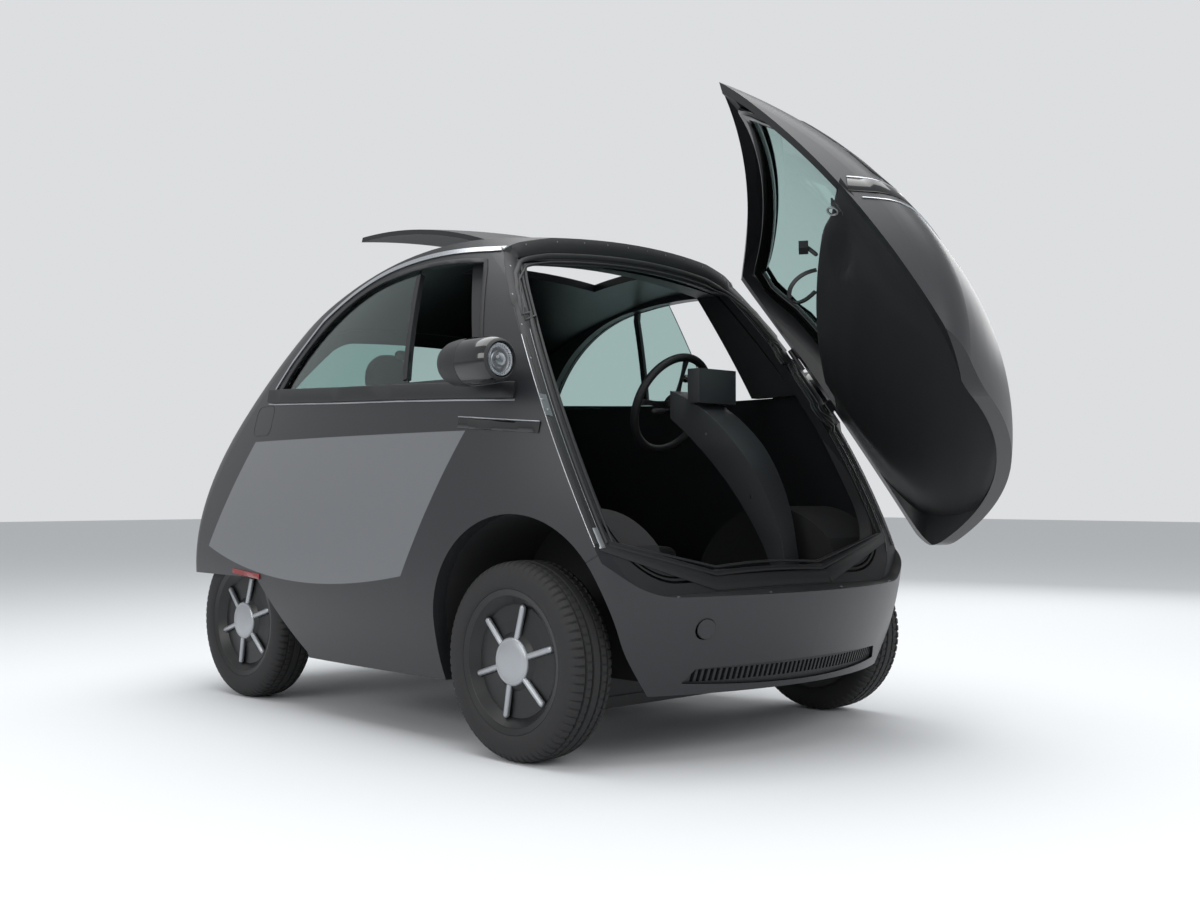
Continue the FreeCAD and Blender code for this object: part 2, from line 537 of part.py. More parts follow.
# Arm seen from the side, then its right and left edges seen from the front
FOOT_Z = S["floor_top"] + SG
ARM = [(505, 955), (735, 748, 0), (905, 470), (925, FOOT_Z), (985, FOOT_Z), (955, 470), (800, 845, 0),
       (505, 1045)]
ARM_FRONT = [(SY - 62, 200), (SY - 62, 560), (SY - 90, 860), (SY - 90, 1100), (SY + 45, 1100), (SY + 45, 860),
             (SY + 8, 560), (SY + 8, 200)]
arm = prism(ARM, "y", SY - 120, SY + 120).common(prism(ARM_FRONT, "x", 0, 1200))
arm = arm.fuse(block(600, 650, SY - 110, SY + 70, 1000, 1110))
tilt = math.radians(S["wheel_tilt"])
N = V(-math.cos(tilt), 0, math.sin(tilt))
C = V(430, SY, 1010)
add("steering_arm", arm.fuse(Part.makeCylinder(30, 70, C - N * 140, N)))
RIM_RAD, RIM_HALF = 165, 14
ring_pts = [V(RIM_RAD + RIM_HALF * math.cos(a), 0, RIM_HALF * math.sin(a))
            for a in [math.radians(36 * k + 18) for k in range(10)]]
rim = Part.Face(Part.makePolygon(ring_pts + ring_pts[:1])).revolve(V(0, 0, 0), V(0, 0, 1), 360)
if rim.Volume < 0:
    rim.reverse()
rim.Placement = Placement(C, Rotation(V(0, 0, 1), N))
hub = Part.makeCylinder(36, 30, C - N * 24, N)
sw = rim.fuse(hub)
for a in (0, 180, 270):
    u = V(0, math.cos(math.radians(a)), 0) + N.cross(V(0, 1, 0)) * math.sin(math.radians(a))
    sw = sw.fuse(rod(tuple(C - N * 10 + u * 30), tuple(C + u * 162), 8))
add("steering_wheel", sw.fuse(Part.makeCylinder(18, 50, C - N * 69.7, N)))
ped = block(930, 1000, 5, 185, S["floor_top"] + SG, 243)
for y in (50, 140):
    ped = ped.fuse(rod((960, y, 240), (930, y, 380), 7)).fuse(block(918, 930, y - 35, y + 35, 350, 410))
add("pedals", ped)

# Lamp pods on the flanks, with their lenses
for name, s in (("right", -1), ("left", 1)):
    y, z, r = s * S["pod_y"], S["pod_z"], S["pod_rad"]
    section = [(0, 0), (-4, 20), (4, 40), (22, 54), (60, r), (150, r), (228, r - 6), (236, r - 10), (236, 0)]
    pod = turned(section, 1)
    pod.rotate(V(0, 0, 0), V(0, 0, 1), -90)
    pod.translate(V(560, y, z))
    stalk = rod((650, s * 650, z - 22), (650, s * (S["pod_y"] - 30), z - 22), 26)
    pod = pod.fuse(stalk.cut(form(-SG)))
    add("lamp_pod_" + name, pod.cut(Part.makeCylinder(r - 14, 30, V(784, y, z), V(1, 0, 0))))
    lens = Part.makeCylinder(r - 14.5, 12, V(784.3, y, z), V(1, 0, 0))
    add("lamp_lens_" + name, lens)

# Rear light bar
tail = shell(-5, -SG).common(block(-1500, -600, -430, 430, 700, 724))
add("tail_light_bar", tail)

doc.recompute()
bad = [o.Name for o in doc.Objects if "Invalid" in o.State or "Error" in o.State]
bad += [o.Label for o in NODES if o.Shape.isNull() or not o.Shape.isValid() or len(o.Shape.Solids) != 1]
for o in NODES:
    if o.Label in bad:
        print("check", o.Label, o.Shape.isValid(), [round(s.Volume) for s in o.Shape.Solids])
os.makedirs("parts", exist_ok=True)
for o in NODES:
    o.Shape.exportStep("parts/%s.step" % o.Label)
print(len(NODES), "sub-parts", "bad:", bad)
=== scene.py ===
"""Looks of a two-seat bubble microcar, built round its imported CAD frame. Metres, +X forward, +Y left, +Z up."""
import json
import math

import bmesh
import bpy
from bpy.props import FloatProperty, IntProperty, PointerProperty, StringProperty
from mathutils import Matrix, Vector
from mathutils.bvhtree import BVHTree


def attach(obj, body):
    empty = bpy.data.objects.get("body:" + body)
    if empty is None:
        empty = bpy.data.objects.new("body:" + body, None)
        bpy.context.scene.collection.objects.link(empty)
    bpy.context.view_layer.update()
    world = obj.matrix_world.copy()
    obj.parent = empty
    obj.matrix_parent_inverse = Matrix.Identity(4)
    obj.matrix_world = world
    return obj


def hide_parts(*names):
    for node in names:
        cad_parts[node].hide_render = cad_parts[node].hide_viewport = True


bl_info = {
    "name": "Bubble microcar looks",
    "version": (1, 0, 0),
    "blender": (4, 5, 0),
    "location": "View3D > Sidebar > Microcar",
    "description": "Builds the tyres, lamps, seals, seats and finishes of a two-seat bubble microcar",
    "category": "Object",
}

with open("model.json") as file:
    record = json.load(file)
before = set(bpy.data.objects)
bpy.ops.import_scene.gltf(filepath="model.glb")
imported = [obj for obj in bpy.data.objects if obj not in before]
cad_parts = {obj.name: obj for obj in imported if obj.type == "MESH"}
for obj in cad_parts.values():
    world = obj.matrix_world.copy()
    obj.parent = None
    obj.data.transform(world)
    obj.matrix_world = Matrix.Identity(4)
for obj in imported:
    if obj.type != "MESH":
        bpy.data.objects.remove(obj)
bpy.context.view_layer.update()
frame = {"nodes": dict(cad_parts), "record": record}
NODES = frame["nodes"]
JOINTS = {j["name"]: j for j in frame["record"]["behaviour"]["joints"]}
MM = 0.001

SIDES = (("right", -1), ("left", 1))
# Shut face of the front door: a wide arc seen from the side, bowed forward at the header
SHUT_RAD, SHUT_CX, SHUT_CZ = 5.190, -3.579, -1.771
NOSE_X, NOSE_MID, NOSE_HALF, NOSE_LOW = 0.519, 0.564, 0.512, 1.2
DOOR_LOW, DOOR_HALF, DOOR_CORNER = 0.445, 0.700, 0.220
MID_Z = 0.95  # height of the middle of the door opening
BODY_SKIN = -2.5 * MM  # the body's side of the shut face
TYRE_RADIUS = 0.2665
WHEELS = {  # where: side, centre
    end + "_" + word: (side, Vector((x, side * half_track, TYRE_RADIUS)))
    for end, x, half_track in (("front", 0.783, 0.6525), ("rear", -0.783, 0.535)) for word, side in SIDES
}


def door_turn():
    "matrix that swings a piece from the shut door to the door as it stands"
    joint = JOINTS["door_hinge"]
    at = Vector(joint["pos_m"])
    angle = -math.radians(joint["range_deg"][0])
    turn = Matrix.Rotation(angle, 4, Vector(joint["axis"]))
    return Matrix.Translation(at) @ turn @ Matrix.Translation(-at)


OPEN = door_turn()
ON_DOOR = {"body": "door", "turn": OPEN}  # pieces drawn on the shut door and swung open with it


def face_at(y, z, off=0.0):
    "place on the shut face, moved off it, and its normal"
    x = SHUT_CX + math.sqrt((SHUT_RAD + off) ** 2 - (z - SHUT_CZ) ** 2)
    bow = NOSE_MID - NOSE_X
    r = (NOSE_HALF ** 2 + bow ** 2) / (2 * bow)
    if abs(y) < NOSE_HALF:
        nose = NOSE_MID - r + math.sqrt((r + off) ** 2 - y * y)
        if nose > x and z > NOSE_LOW:
            return Vector((nose, y, z)), Vector((nose - NOSE_MID + r, y, 0)).normalized()
    return Vector((x, y, z)), Vector((x - SHUT_CX, 0, z - SHUT_CZ)).normalized()


# Shapes
def cleaned(mesh, near, flat=None):
    "merge doubled points, join faces within a flat angle if asked, and turn the normals out"
    bm = bmesh.new()
    bm.from_mesh(mesh)
    bmesh.ops.remove_doubles(bm, verts=bm.verts, dist=near)
    if flat:
        bmesh.ops.dissolve_limit(bm, angle_limit=math.radians(flat), verts=bm.verts, edges=bm.edges)
    bmesh.ops.recalc_face_normals(bm, faces=bm.faces)
    bm.to_mesh(mesh)
    bm.free()
    return mesh


def linked(name, data):
    ob = bpy.data.objects.new(name, data)
    bpy.context.scene.collection.objects.link(ob)
    return ob


def dressed(ob, finish, crease, body):
    "one finish, smooth faces with edges sharp above the crease angle, and the body that it rides"
    mesh = ob.data
    mesh.materials.clear()
    mesh.materials.append(F[finish])
    mesh.shade_smooth()
    if crease:
        mesh.set_sharp_from_angle(angle=math.radians(crease))
    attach(ob, body)
    return ob


def new_piece(name, shape, finish, crease=45, body="body", slot="trim_black", turn=None, uv=None):
    "a closed mesh from (vertices, faces) with its normals out, riding one body"
    mesh = bpy.data.meshes.new(name)
    mesh.from_pydata([tuple(v) for v in shape[0]], [], shape[1])
    if uv is not None:
        layer = mesh.uv_layers.new(name="turned")
        for loop in mesh.loops:
            layer.data[loop.index].uv = uv[loop.vertex_index]
    cleaned(mesh, 1e-5)
    if turn is not None:
        mesh.transform(turn)
    return dressed(linked(name, mesh), finish, crease, body)


def net(n, k, round_n, round_k=True):
    "faces between n rows of k points, closed along the rows and along the points where asked"
    return [(i * k + j, i * k + (j + 1) % k, (i + 1) % n * k + (j + 1) % k, (i + 1) % n * k + j)
            for i in range(n if round_n else n - 1) for j in range(k if round_k else k - 1)]


def tube(verts, k, closed=False):
    "rows of k points as a solid, its ends capped unless it closes on itself"
    n = len(verts) // k
    ends = [] if closed else [tuple(range(k)), tuple(range((n - 1) * k, n * k))[::-1]]
    return verts, net(n, k, closed) + ends


def sweep(path, normals, section, closed=False):
    "a section of (across, outward) points carried along a path that lies on a surface"
    n = len(path)
    verts = []
    for i, p in enumerate(path):
        before = path[i - 1] if closed or i else p
        after = path[(i + 1) % n] if closed or i < n - 1 else p
        along = (after - before).normalized()
        out = normals[i]
        out = (out - along * out.dot(along)).normalized()
        across = along.cross(out)
        verts += [p + across * u + out * v for u, v in section]
    return tube(verts, len(section), closed)


def round_steps(count):
    return [2 * math.pi * i / count for i in range(count)]


def disc_section(radius, count=10):
    return [(radius * math.cos(t), radius * math.sin(t)) for t in round_steps(count)]


def bar_section(wide, thick, soft=0.3):
    "a bar lying on the surface, its upper corners softened"
    h, r = wide / 2, thick * soft
    return [(-h, 0), (-h, thick - r), (-h + r, thick), (h - r, thick), (h, thick - r), (h, 0)]


def lathe(profile, count, centre, axis, closed=False):
    "a profile of (along, radius) turned about an axis; returns vertices, faces and a map of turn and run"
    axis = Vector(axis).normalized()
    u = axis.orthogonal().normalized()
    if abs(axis.z) < 0.9:
        u = (Vector((0, 0, 1)) - axis * axis.z).normalized()
    w = axis.cross(u)
    centre = Vector(centre)
    verts, uv, run = [], [], [0.0]
    for a, b in zip(profile, profile[1:]):
        run.append(run[-1] + math.hypot(b[0] - a[0], b[1] - a[1]))
    for i, t in enumerate(round_steps(count)):
        d = u * math.cos(t) + w * math.sin(t)
        for j, (x, r) in enumerate(profile):
            verts.append(centre + axis * x + d * r)
            uv.append((i / count, run[j]))
    return verts, net(count, len(profile), True, closed), uv


def join(*parts):
    "several (verts, faces) as one"
    verts, faces = [], []
    for v, f in parts:
        base = len(verts)
        verts += list(v)
        faces += [tuple(base + i for i in face) for face in f]
    return verts, faces


def strip(name, line, section, finish="rubber", crease=45, closed=False, **more):
    "a section carried along a line of (places, normals)"
    return new_piece(name, sweep(*line, section, closed), finish, crease, **more)


def turned(name, profile, count, centre, axis, finish, crease, closed=False, extra=(), **more):
    "a profile turned about an axis, with further shapes joined to it"
    shape = lathe(profile, count, centre, axis, closed)[:2]
    return new_piece(name, join(shape, *extra), finish, crease, **more)


BLOCK = [(0, 1, 3, 2), (4, 6, 7, 5), (0, 4, 5, 1), (2, 3, 7, 6), (0, 2, 6, 4), (1, 5, 7, 3)]


def box(x0, x1, y0, y1, z0, z1):
    return [Vector((x, y, z)) for x in (x0, x1) for y in (y0, y1) for z in (z0, z1)], BLOCK


def slab(centre, across, up, out, wide, tall, thick):
    "a block lying on a surface, given its middle and its three directions"
    return [centre + across * (a * wide / 2) + up * (b * tall / 2) + out * (c * thick)
            for a in (-1, 1) for b in (-1, 1) for c in (0, 1)], BLOCK


def capsule(p, q, radius, count=12, rings=4):
    "a rod with domed ends"
    p, q = Vector(p), Vector(q)
    length = (q - p).length
    turns = [math.pi / 2 * i / rings for i in range(rings + 1)]
    profile = [(-radius * math.cos(t), radius * math.sin(t)) for t in turns]
    profile += [(length + radius * math.sin(t), radius * math.cos(t)) for t in turns]
    return lathe(profile, count, p, q - p)[:2]


def settle(ob):
    "make the evaluated shape the plain mesh"
    graph = bpy.context.evaluated_depsgraph_get()
    mesh = bpy.data.meshes.new_from_object(ob.evaluated_get(graph))
    ob.modifiers.clear()
    ob.data = mesh
    return ob


# Surfaces to lay pieces on
def tree_of(names, turn=Matrix()):
    verts, faces = [], []
    for name in names:
        ob = NODES[name]
        base = len(verts)
        verts += [turn @ (ob.matrix_world @ v.co) for v in ob.data.vertices]
        faces += [[base + i for i in p.vertices] for p in ob.data.polygons]
    return BVHTree.FromPolygons(verts, faces)


BODY_TREE = tree_of(["side_panel_right", "side_panel_left", "roof_panel", "front_bumper", "tail_panel", "tailgate"])
DOOR_TREE = tree_of(["door_shell", "windscreen"], OPEN.inverted())


def on_side(x, z, side, tree=BODY_TREE):
    "place and normal on the flank at one x and z, or two times None"
    return tree.ray_cast(Vector((x, side * 2.0, z)), Vector((0, -side, 0)))[:2]


def on_front(y, z, tree=BODY_TREE):
    "place and normal on the front at one y and z, or two times None"
    return tree.ray_cast(Vector((3.0, y, z)), Vector((-1, 0, 0)))[:2]


def laid(found, shift=lambda n: Vector()):
    "places, each moved by a shift that its normal gives, and normals; misses are skipped"
    found = [(p, n) for p, n in found if p is not None]
    return [p + shift(n) for p, n in found], [n for _, n in found]


def side_path(points, side, lift=0.0, tree=BODY_TREE):
    "places and normals along (x, z) points on one flank; misses and steep spots are skipped"
    found = [on_side(x, z, side, tree) for x, z in points]
    return laid([(p, n) for p, n in found if p is not None and n.y * side > 0.3], lambda n: n * lift)


def level_path(points, side, drop, lift, normal, least=-1.0):
    "places at (x, z) points, as far out as the flank a drop below them, with one normal for all"
    path = []
    for x, z in points:
        p, n = on_side(x, z - drop, side)
        if p is not None and n.y * side >= least:
            path.append(Vector((x, p.y + side * lift, z)))
    return path, [Vector(normal).normalized()] * len(path)


def spaced(a, b, count):
    return [a + (b - a) * i / (count - 1) for i in range(count)]


def dense(points, step):
    "points along straight runs of (x, z) pairs"
    out = []
    for (x0, z0), (x1, z1) in zip(points, points[1:]):
        n = max(1, int(math.hypot(x1 - x0, z1 - z0) / step))
        out += [(x0 + (x1 - x0) * i / n, z0 + (z1 - z0) * i / n) for i in range(n)]
    return out + [points[-1]]


def arc3(a, m, b, count):
    "points of the arc through three (x, z) points"
    ax, az, mx, mz, bx, bz = *a, *m, *b
    d = 2 * (ax * (mz - bz) + mx * (bz - az) + bx * (az - mz))
    sa, sm, sb = ax * ax + az * az, mx * mx + mz * mz, bx * bx + bz * bz
    cx = (sa * (mz - bz) + sm * (bz - az) + sb * (az - mz)) / d
    cz = (sa * (bx - mx) + sm * (ax - bx) + sb * (mx - ax)) / d
    r = math.hypot(ax - cx, az - cz)
    t0, tm, t1 = [math.atan2(p[1] - cz, p[0] - cx) for p in (a, m, b)]
    turn = 2 * math.pi
    run = (t1 - t0) % turn
    if (tm - t0) % turn > run:  # the middle point lies the other way round
        run -= turn
    return [(cx + r * math.cos(t), cz + r * math.sin(t)) for t in spaced(t0, t0 + run, count)]


def rounded(x0, x1, z0, z1, r, count=6):
    "rounded rectangle of (x, z) points"
    out = []
    for cx, cz, start in ((x1 - r, z1 - r, 0), (x0 + r, z1 - r, 90), (x0 + r, z0 + r, 180), (x1 - r, z0 + r, 270)):
        turns = [math.radians(start + 90 * i / count) for i in range(count + 1)]
        out += [(cx + r * math.cos(t), cz + r * math.sin(t)) for t in turns]
    return out


def reach(u, centre_z, far, inside):
    "how far a direction (y, z) stays inside an outline, found by halving"
    low, high = 0.0, far
    for _ in range(30):
        r = (low + high) / 2
        low, high = (r, high) if inside(abs(u[0] * r), centre_z + u[1] * r) else (low, r)
    return low


def above_corner(y, z, half, floor, radius):
    "inside an outline with a flat floor and rounded lower corners"
    dy, dz = y - (half - radius), floor + radius - z
    return y < half and z > floor and not (dy > 0 and dz > 0 and math.hypot(dy, dz) > radius)


def shut_loop(depth, off, count=150, start=0.0, end=360.0):
    "points on the shut face, a depth inside the body's outer skin, and the face's normal at each"
    points, normals = [], []
    middle = Vector((0, 0, MID_Z))
    whole = end - start >= 360
    for i in range(count):
        t = math.radians(start + (end - start) * i / (count if whole else count - 1))
        u = Vector((0, math.cos(t), math.sin(t)))
        found = False
        spot = Vector((0, 0.62 * u.y, MID_Z + 0.49 * u.z))
        for _ in range(4):
            x = face_at(spot.y, spot.z, -6 * MM)[0].x
            for _ in range(45):  # steps of 3 mm back from the face until the ray meets the skin
                p, n = BODY_TREE.ray_cast(Vector((x, 0, MID_Z)) + u * 1.2, -u, 0.8)[:2]
                if p is not None and (p.yz - middle.yz).length > 0.40:
                    spot, normal, found = p, n, True
                    break
                x -= 3 * MM
        limit = reach((u.y, u.z), MID_Z, 2.0, lambda y, z: above_corner(y, z, DOOR_HALF, DOOR_LOW, DOOR_CORNER)) - depth
        place = u * limit + middle
        if found:
            inward = Vector((0, normal.y, normal.z)).normalized()
            skin = Vector((0, spot.y, spot.z)) - inward * depth
            if (skin - middle).length < limit:
                place = skin
        elif points:
            place = Vector((0, points[-1].y, points[-1].z))
        p, n = face_at(place.y, place.z, off)
        points.append(p)
        normals.append(n)
    return points, normals


# Finishes
def linear(code):
    "sRGB hex to linear colour"
    out = []
    for i in (1, 3, 5):
        c = int(code[i:i + 2], 16) / 255
        out.append(c / 12.92 if c <= 0.04045 else ((c + 0.055) / 1.055) ** 2.4)
    return (*out, 1.0)


class Finish:
    "a node material with one Principled shader, and a helper that adds nodes"

    def __init__(self, name, colour, **settings):
        self.material = bpy.data.materials.new(name)
        self.material.use_nodes = True
        self.tree = self.material.node_tree
        self.shader = self.tree.nodes["Principled BSDF"]
        self.shader.inputs["Base Color"].default_value = linear(colour)
        for key, value in settings.items():
            self.shader.inputs[key.replace("_", " ")].default_value = value

    def add(self, kind, settings=None, **links):
        "a node with its settings by name and its inputs by socket name or number"
        node = self.tree.nodes.new(kind)
        for key, value in (settings or {}).items():
            setattr(node, key, value)
        for key, value in links.items():
            key = int(key[1:]) if key[0] == "i" and key[1:].isdigit() else key.replace("_", " ")
            socket = node.inputs[key]
            if isinstance(value, bpy.types.NodeSocket):
                self.tree.links.new(value, socket)
            else:
                socket.default_value = value
        return node

    def link(self, value, name):
        self.tree.links.new(value, self.shader.inputs[name])

    def calc(self, operation, *inputs):
        "the result of a Math node"
        named = {"i%d" % k: value for k, value in enumerate(inputs)}
        return self.add("ShaderNodeMath", {"operation": operation}, **named).outputs[0]

    def place(self):
        return self.add("ShaderNodeTexCoord").outputs["Object"]

    def hump(self, strength, distance, height):
        node = self.add("ShaderNodeBump", Strength=strength, Distance=distance, Height=height)
        self.link(node.outputs["Normal"], "Normal")

    def grain(self, size_mm, rough, spread, bump=0.0, source=None):
        "fine noise in the gloss and, if asked, in the surface"
        noise = self.add("ShaderNodeTexNoise", Vector=source or self.place(), Scale=1000.0 / size_mm, Detail=3.0)
        span = self.add("ShaderNodeMapRange", Value=noise.outputs["Fac"], To_Min=rough - spread, To_Max=rough + spread)
        self.link(span.outputs["Result"], "Roughness")
        if bump:
            self.hump(bump, size_mm * MM * 0.1, noise.outputs["Fac"])
        return noise.outputs["Fac"]


def paint_two_tone(name, middle, sweep_on):
    """matt lacquer over pressed sheet: dark ground with a mid-grey sweep along each flank, soft wide highlights,
    and a flatter black wherever the face looks to the inside"""
    ground, grey, inner = "#252629", "#66686B", "#1A1B1D"
    f = Finish(name, ground, Roughness=0.38, Specular_IOR_Level=0.5)
    place = f.place()
    x, y, z = f.add("ShaderNodeSeparateXYZ", Vector=place).outputs
    from_low = f.calc("ADD", x, 0.20)
    low = f.calc("MULTIPLY_ADD", f.calc("MULTIPLY", from_low, from_low), 0.16, 0.43)
    edge = f.calc("SUBTRACT", z, low)  # distance inside the sweep: over its bowl, then under its other three edges
    for limit in (f.calc("MULTIPLY_ADD", z, -1.0, 0.885),
                  f.calc("SUBTRACT", f.calc("MULTIPLY_ADD", z, 0.62, 0.03), x),
                  f.calc("ADD", f.calc("MULTIPLY_ADD", z, -0.95, 1.461), x)):
        edge = f.calc("MINIMUM", edge, limit)
    mask = f.add("ShaderNodeMapRange", Value=edge, From_Min=-0.0006, From_Max=0.0006)
    spot = f.add("ShaderNodeNewGeometry")
    facing = f.add("ShaderNodeSeparateXYZ", Vector=spot.outputs["Normal"])
    outside = f.calc("GREATER_THAN", f.calc("MULTIPLY", facing.outputs[1], y), 0.02)
    shown = f.calc("MULTIPLY", mask.outputs[0], outside)
    mix = f.add("ShaderNodeMix", {"data_type": "RGBA"}, Factor=shown)
    mix.inputs[6].default_value = linear(ground)
    mix.inputs[7].default_value = linear(grey if sweep_on else ground)
    from_middle = f.add("ShaderNodeVectorMath", {"operation": "SUBTRACT"}, i0=spot.outputs["Position"],
                        i1=tuple(middle))
    side = f.add("ShaderNodeVectorMath", {"operation": "DOT_PRODUCT"}, i0=spot.outputs["Normal"],
                 i1=from_middle.outputs[0])
    hidden = f.calc("LESS_THAN", side.outputs["Value"], 0.0)
    whole = f.add("ShaderNodeMix", {"data_type": "RGBA"}, Factor=hidden)
    f.tree.links.new(mix.outputs[2], whole.inputs[6])
    whole.inputs[7].default_value = linear(inner)
    f.link(whole.outputs[2], "Base Color")
    f.grain(2.0, 0.38, 0.03, source=place)
    return f.material


PLAIN_FINISHES = [  # short name, material, colour, grain in mm, roughness, its spread, bump, other settings
    # leather grain of moulded trim: breaks up highlights
    ("trim", "moulded_abs_textured", "#1B1C1E", 1.6, 0.55, 0.06, 0.25, {}),
    # slightly lighter satin housing of the steering beam
    ("beam", "moulded_abs_grey", "#2F3134", 1.4, 0.48, 0.05, 0.2, {}),
    # orange peel of a thick gloss coat: barely wavy mirror
    ("gloss", "black_gloss_enamel", "#08090A", 8.0, 0.12, 0.02, 0, {"Coat_Weight": 0.6, "Coat_Roughness": 0.05}),
    # satin black wheel disc: only soft broad glints
    ("disc", "wheel_black_enamel", "#0B0C0D", 4.0, 0.36, 0.03, 0, {}),
    # extruded seal: dull black with a soft sheen line
    ("rubber", "epdm_rubber", "#17181A", 1.0, 0.5, 0.05, 0, {}),
    # drawn trim: bright with a brushed blur
    ("bright", "anodised_aluminium", "#C3C6CA", 0.8, 0.28, 0.06, 0, {"Metallic": 1.0}),
    # wheel arms and cap: fine metallic flake
    ("silver", "silver_enamel", "#A9ACB0", 1.2, 0.34, 0.05, 0, {"Metallic": 0.7}),
    # screws, latch: grey, slightly cloudy
    ("zinc", "zinc_plated_steel", "#8C8E90", 3.0, 0.38, 0.08, 0, {"Metallic": 1.0}),
    # float glass: nearly flat, with a green edge tint
    ("glass", "tinted_safety_glass", "#B9D3CF", 60.0, 0.02, 0.01, 0,
     {"IOR": 1.45, "Transmission_Weight": 1.0, "Specular_IOR_Level": 0.18}),
    # lamp lenses: clear and hard, with sharp glints
    ("lens", "clear_polycarbonate", "#F2F5F7", 20.0, 0.03, 0.01, 0, {"IOR": 1.58, "Transmission_Weight": 1.0}),
    # reflectors: deep red gloss
    ("red", "red_polycarbonate", "#7C0C0E", 3.0, 0.12, 0.03, 0.3, {"Specular_IOR_Level": 0.6}),
    # white light guide behind a clear cover
    ("light_bar", "smoked_light_bar", "#C9CDD2", 6.0, 0.15, 0.03, 0, {}),
    # stoved chassis black: semi-matt, faint texture
    ("chassis", "black_steel_coating", "#141416", 3.0, 0.5, 0.08, 0.15, {}),
    # short needle felt: no gloss, speckled
    ("carpet", "floor_carpet", "#19191B", 3.0, 0.92, 0.05, 0.8, {"Roughness": 0.95}),
    # battery case: dull grainy metal
    ("case", "cast_aluminium_case", "#8E9194", 4.0, 0.5, 0.08, 0.2, {"Metallic": 0.9}),
    # dark screen that shows one clear highlight
    ("screen", "display_glass", "#050608", 30.0, 0.08, 0.01, 0, {"Coat_Weight": 0.5}),
]


def finishes():
    "every material, by a short name"
    out = {"paint": paint_two_tone("matt_two_tone_lacquer", (0, 0, 0.8), True),
           "door_paint": paint_two_tone("matt_door_lacquer", OPEN @ Vector((0.3, 0, -0.3)), False)}
    for key, name, colour, size_mm, rough, spread, bump, settings in PLAIN_FINISHES:
        f = Finish(name, colour, **{"Roughness": rough, **settings})
        f.grain(size_mm, rough, spread, bump)
        out[key] = f.material
    return {**out, "tyre": tyre_rubber(), "cloth": seat_cloth()}


def tyre_rubber():
    "carbon-black rubber: matt, with fine moulded rings on the wall; the run of the section drives the rings"
    f = Finish("tyre_rubber", "#1C1C1D", Roughness=0.72)
    uv = f.add("ShaderNodeUVMap", {"uv_map": "turned"})
    axes = f.add("ShaderNodeSeparateXYZ", Vector=uv.outputs["UV"])
    wave = f.calc("SINE", f.calc("MULTIPLY", axes.outputs[1], 2 * math.pi / 0.0022))
    f.hump(0.25, 0.0005, f.calc("MULTIPLY_ADD", wave, 0.5, f.grain(2.5, 0.72, 0.06)))
    return f.material


def seat_cloth():
    "woven polyester: 2 mm ribs drawn a little coarse so that they show, no gloss"
    f = Finish("woven_polyester", "#202124", Roughness=0.9, Sheen_Weight=0.15)
    place = f.place()
    wave = f.add("ShaderNodeTexWave", {"wave_type": "BANDS", "bands_direction": "Y"}, Vector=place, Scale=80.0,
                 Distortion=0.6)
    f.hump(0.35, 0.0008, f.calc("ADD", wave.outputs["Fac"], f.grain(2.0, 0.9, 0.05, source=place)))
    return f.material


F = finishes()
NODE_FINISH = {  # finish: CAD nodes that stay in view
    "paint": ["side_panel_right", "side_panel_left", "roof_panel", "tail_panel", "tailgate", "front_bumper"],
    "door_paint": ["door_shell"],
    "trim": ["sunroof_panel", "door_opening_frame", "door_trim", "front_grille", "bench_base", "pedals"],
    "beam": ["steering_arm"],
    "disc": ["wheel_front_right", "wheel_front_left", "wheel_rear_right", "wheel_rear_left"],
    "glass": ["windscreen", "side_glass_right", "side_glass_left", "tailgate_glass"],
    "bright": ["roof_trim_right", "roof_trim_left"],
    "light_bar": ["door_light_bar"],
    "red": ["tail_light_bar"],
    "chassis": ["knuckle_right", "knuckle_left", "front_beam", "rear_axle", "motor_block"],
    "carpet": ["floor_pan", "rear_deck"],
    "case": ["battery_block"],
}


def dress_nodes():
    for finish, names in NODE_FINISH.items():
        for name in names:
            mesh = NODES[name].data
            mesh.materials.clear()
            mesh.materials.append(F[finish])


# Sizes that a user would change
class TyreSizes(bpy.types.PropertyGroup):
    radius: FloatProperty(name="Radius", description="Rolling radius of the tyre", default=TYRE_RADIUS, unit="LENGTH")
    groove: FloatProperty(name="Groove depth", description="Depth of the tread", default=0.006, unit="LENGTH")
    blocks: IntProperty(name="Blocks", description="Shoulder blocks round the tyre", default=72, min=24)


class TrimSizes(bpy.types.PropertyGroup):
    belt: FloatProperty(name="Belt width", description="Width of the trim under the windows", default=0.046,
                        unit="LENGTH")
    seal: FloatProperty(name="Seal radius", description="Radius of the door seal", default=0.0065, unit="LENGTH")
    screws: IntProperty(name="Screws", description="Screws along the opening's face", default=18, min=2)


class LampSizes(bpy.types.PropertyGroup):
    radius: FloatProperty(name="Pod radius", description="Largest radius of the lamp pod", default=0.066,
                          unit="LENGTH")
    ring: FloatProperty(name="Ring radius", description="Outer radius of the toothed ring", default=0.047,
                        unit="LENGTH")
    teeth: IntProperty(name="Teeth", description="Teeth of the light ring", default=36, min=8)


class StageSizes(bpy.types.PropertyGroup):
    backdrop: StringProperty(name="Backdrop", description="Colour of floor and backdrop as hex", default="#DCDEE0")
    strength: FloatProperty(name="Lamp strength", description="Power of the main soft lamp", default=260.0, min=0.0)


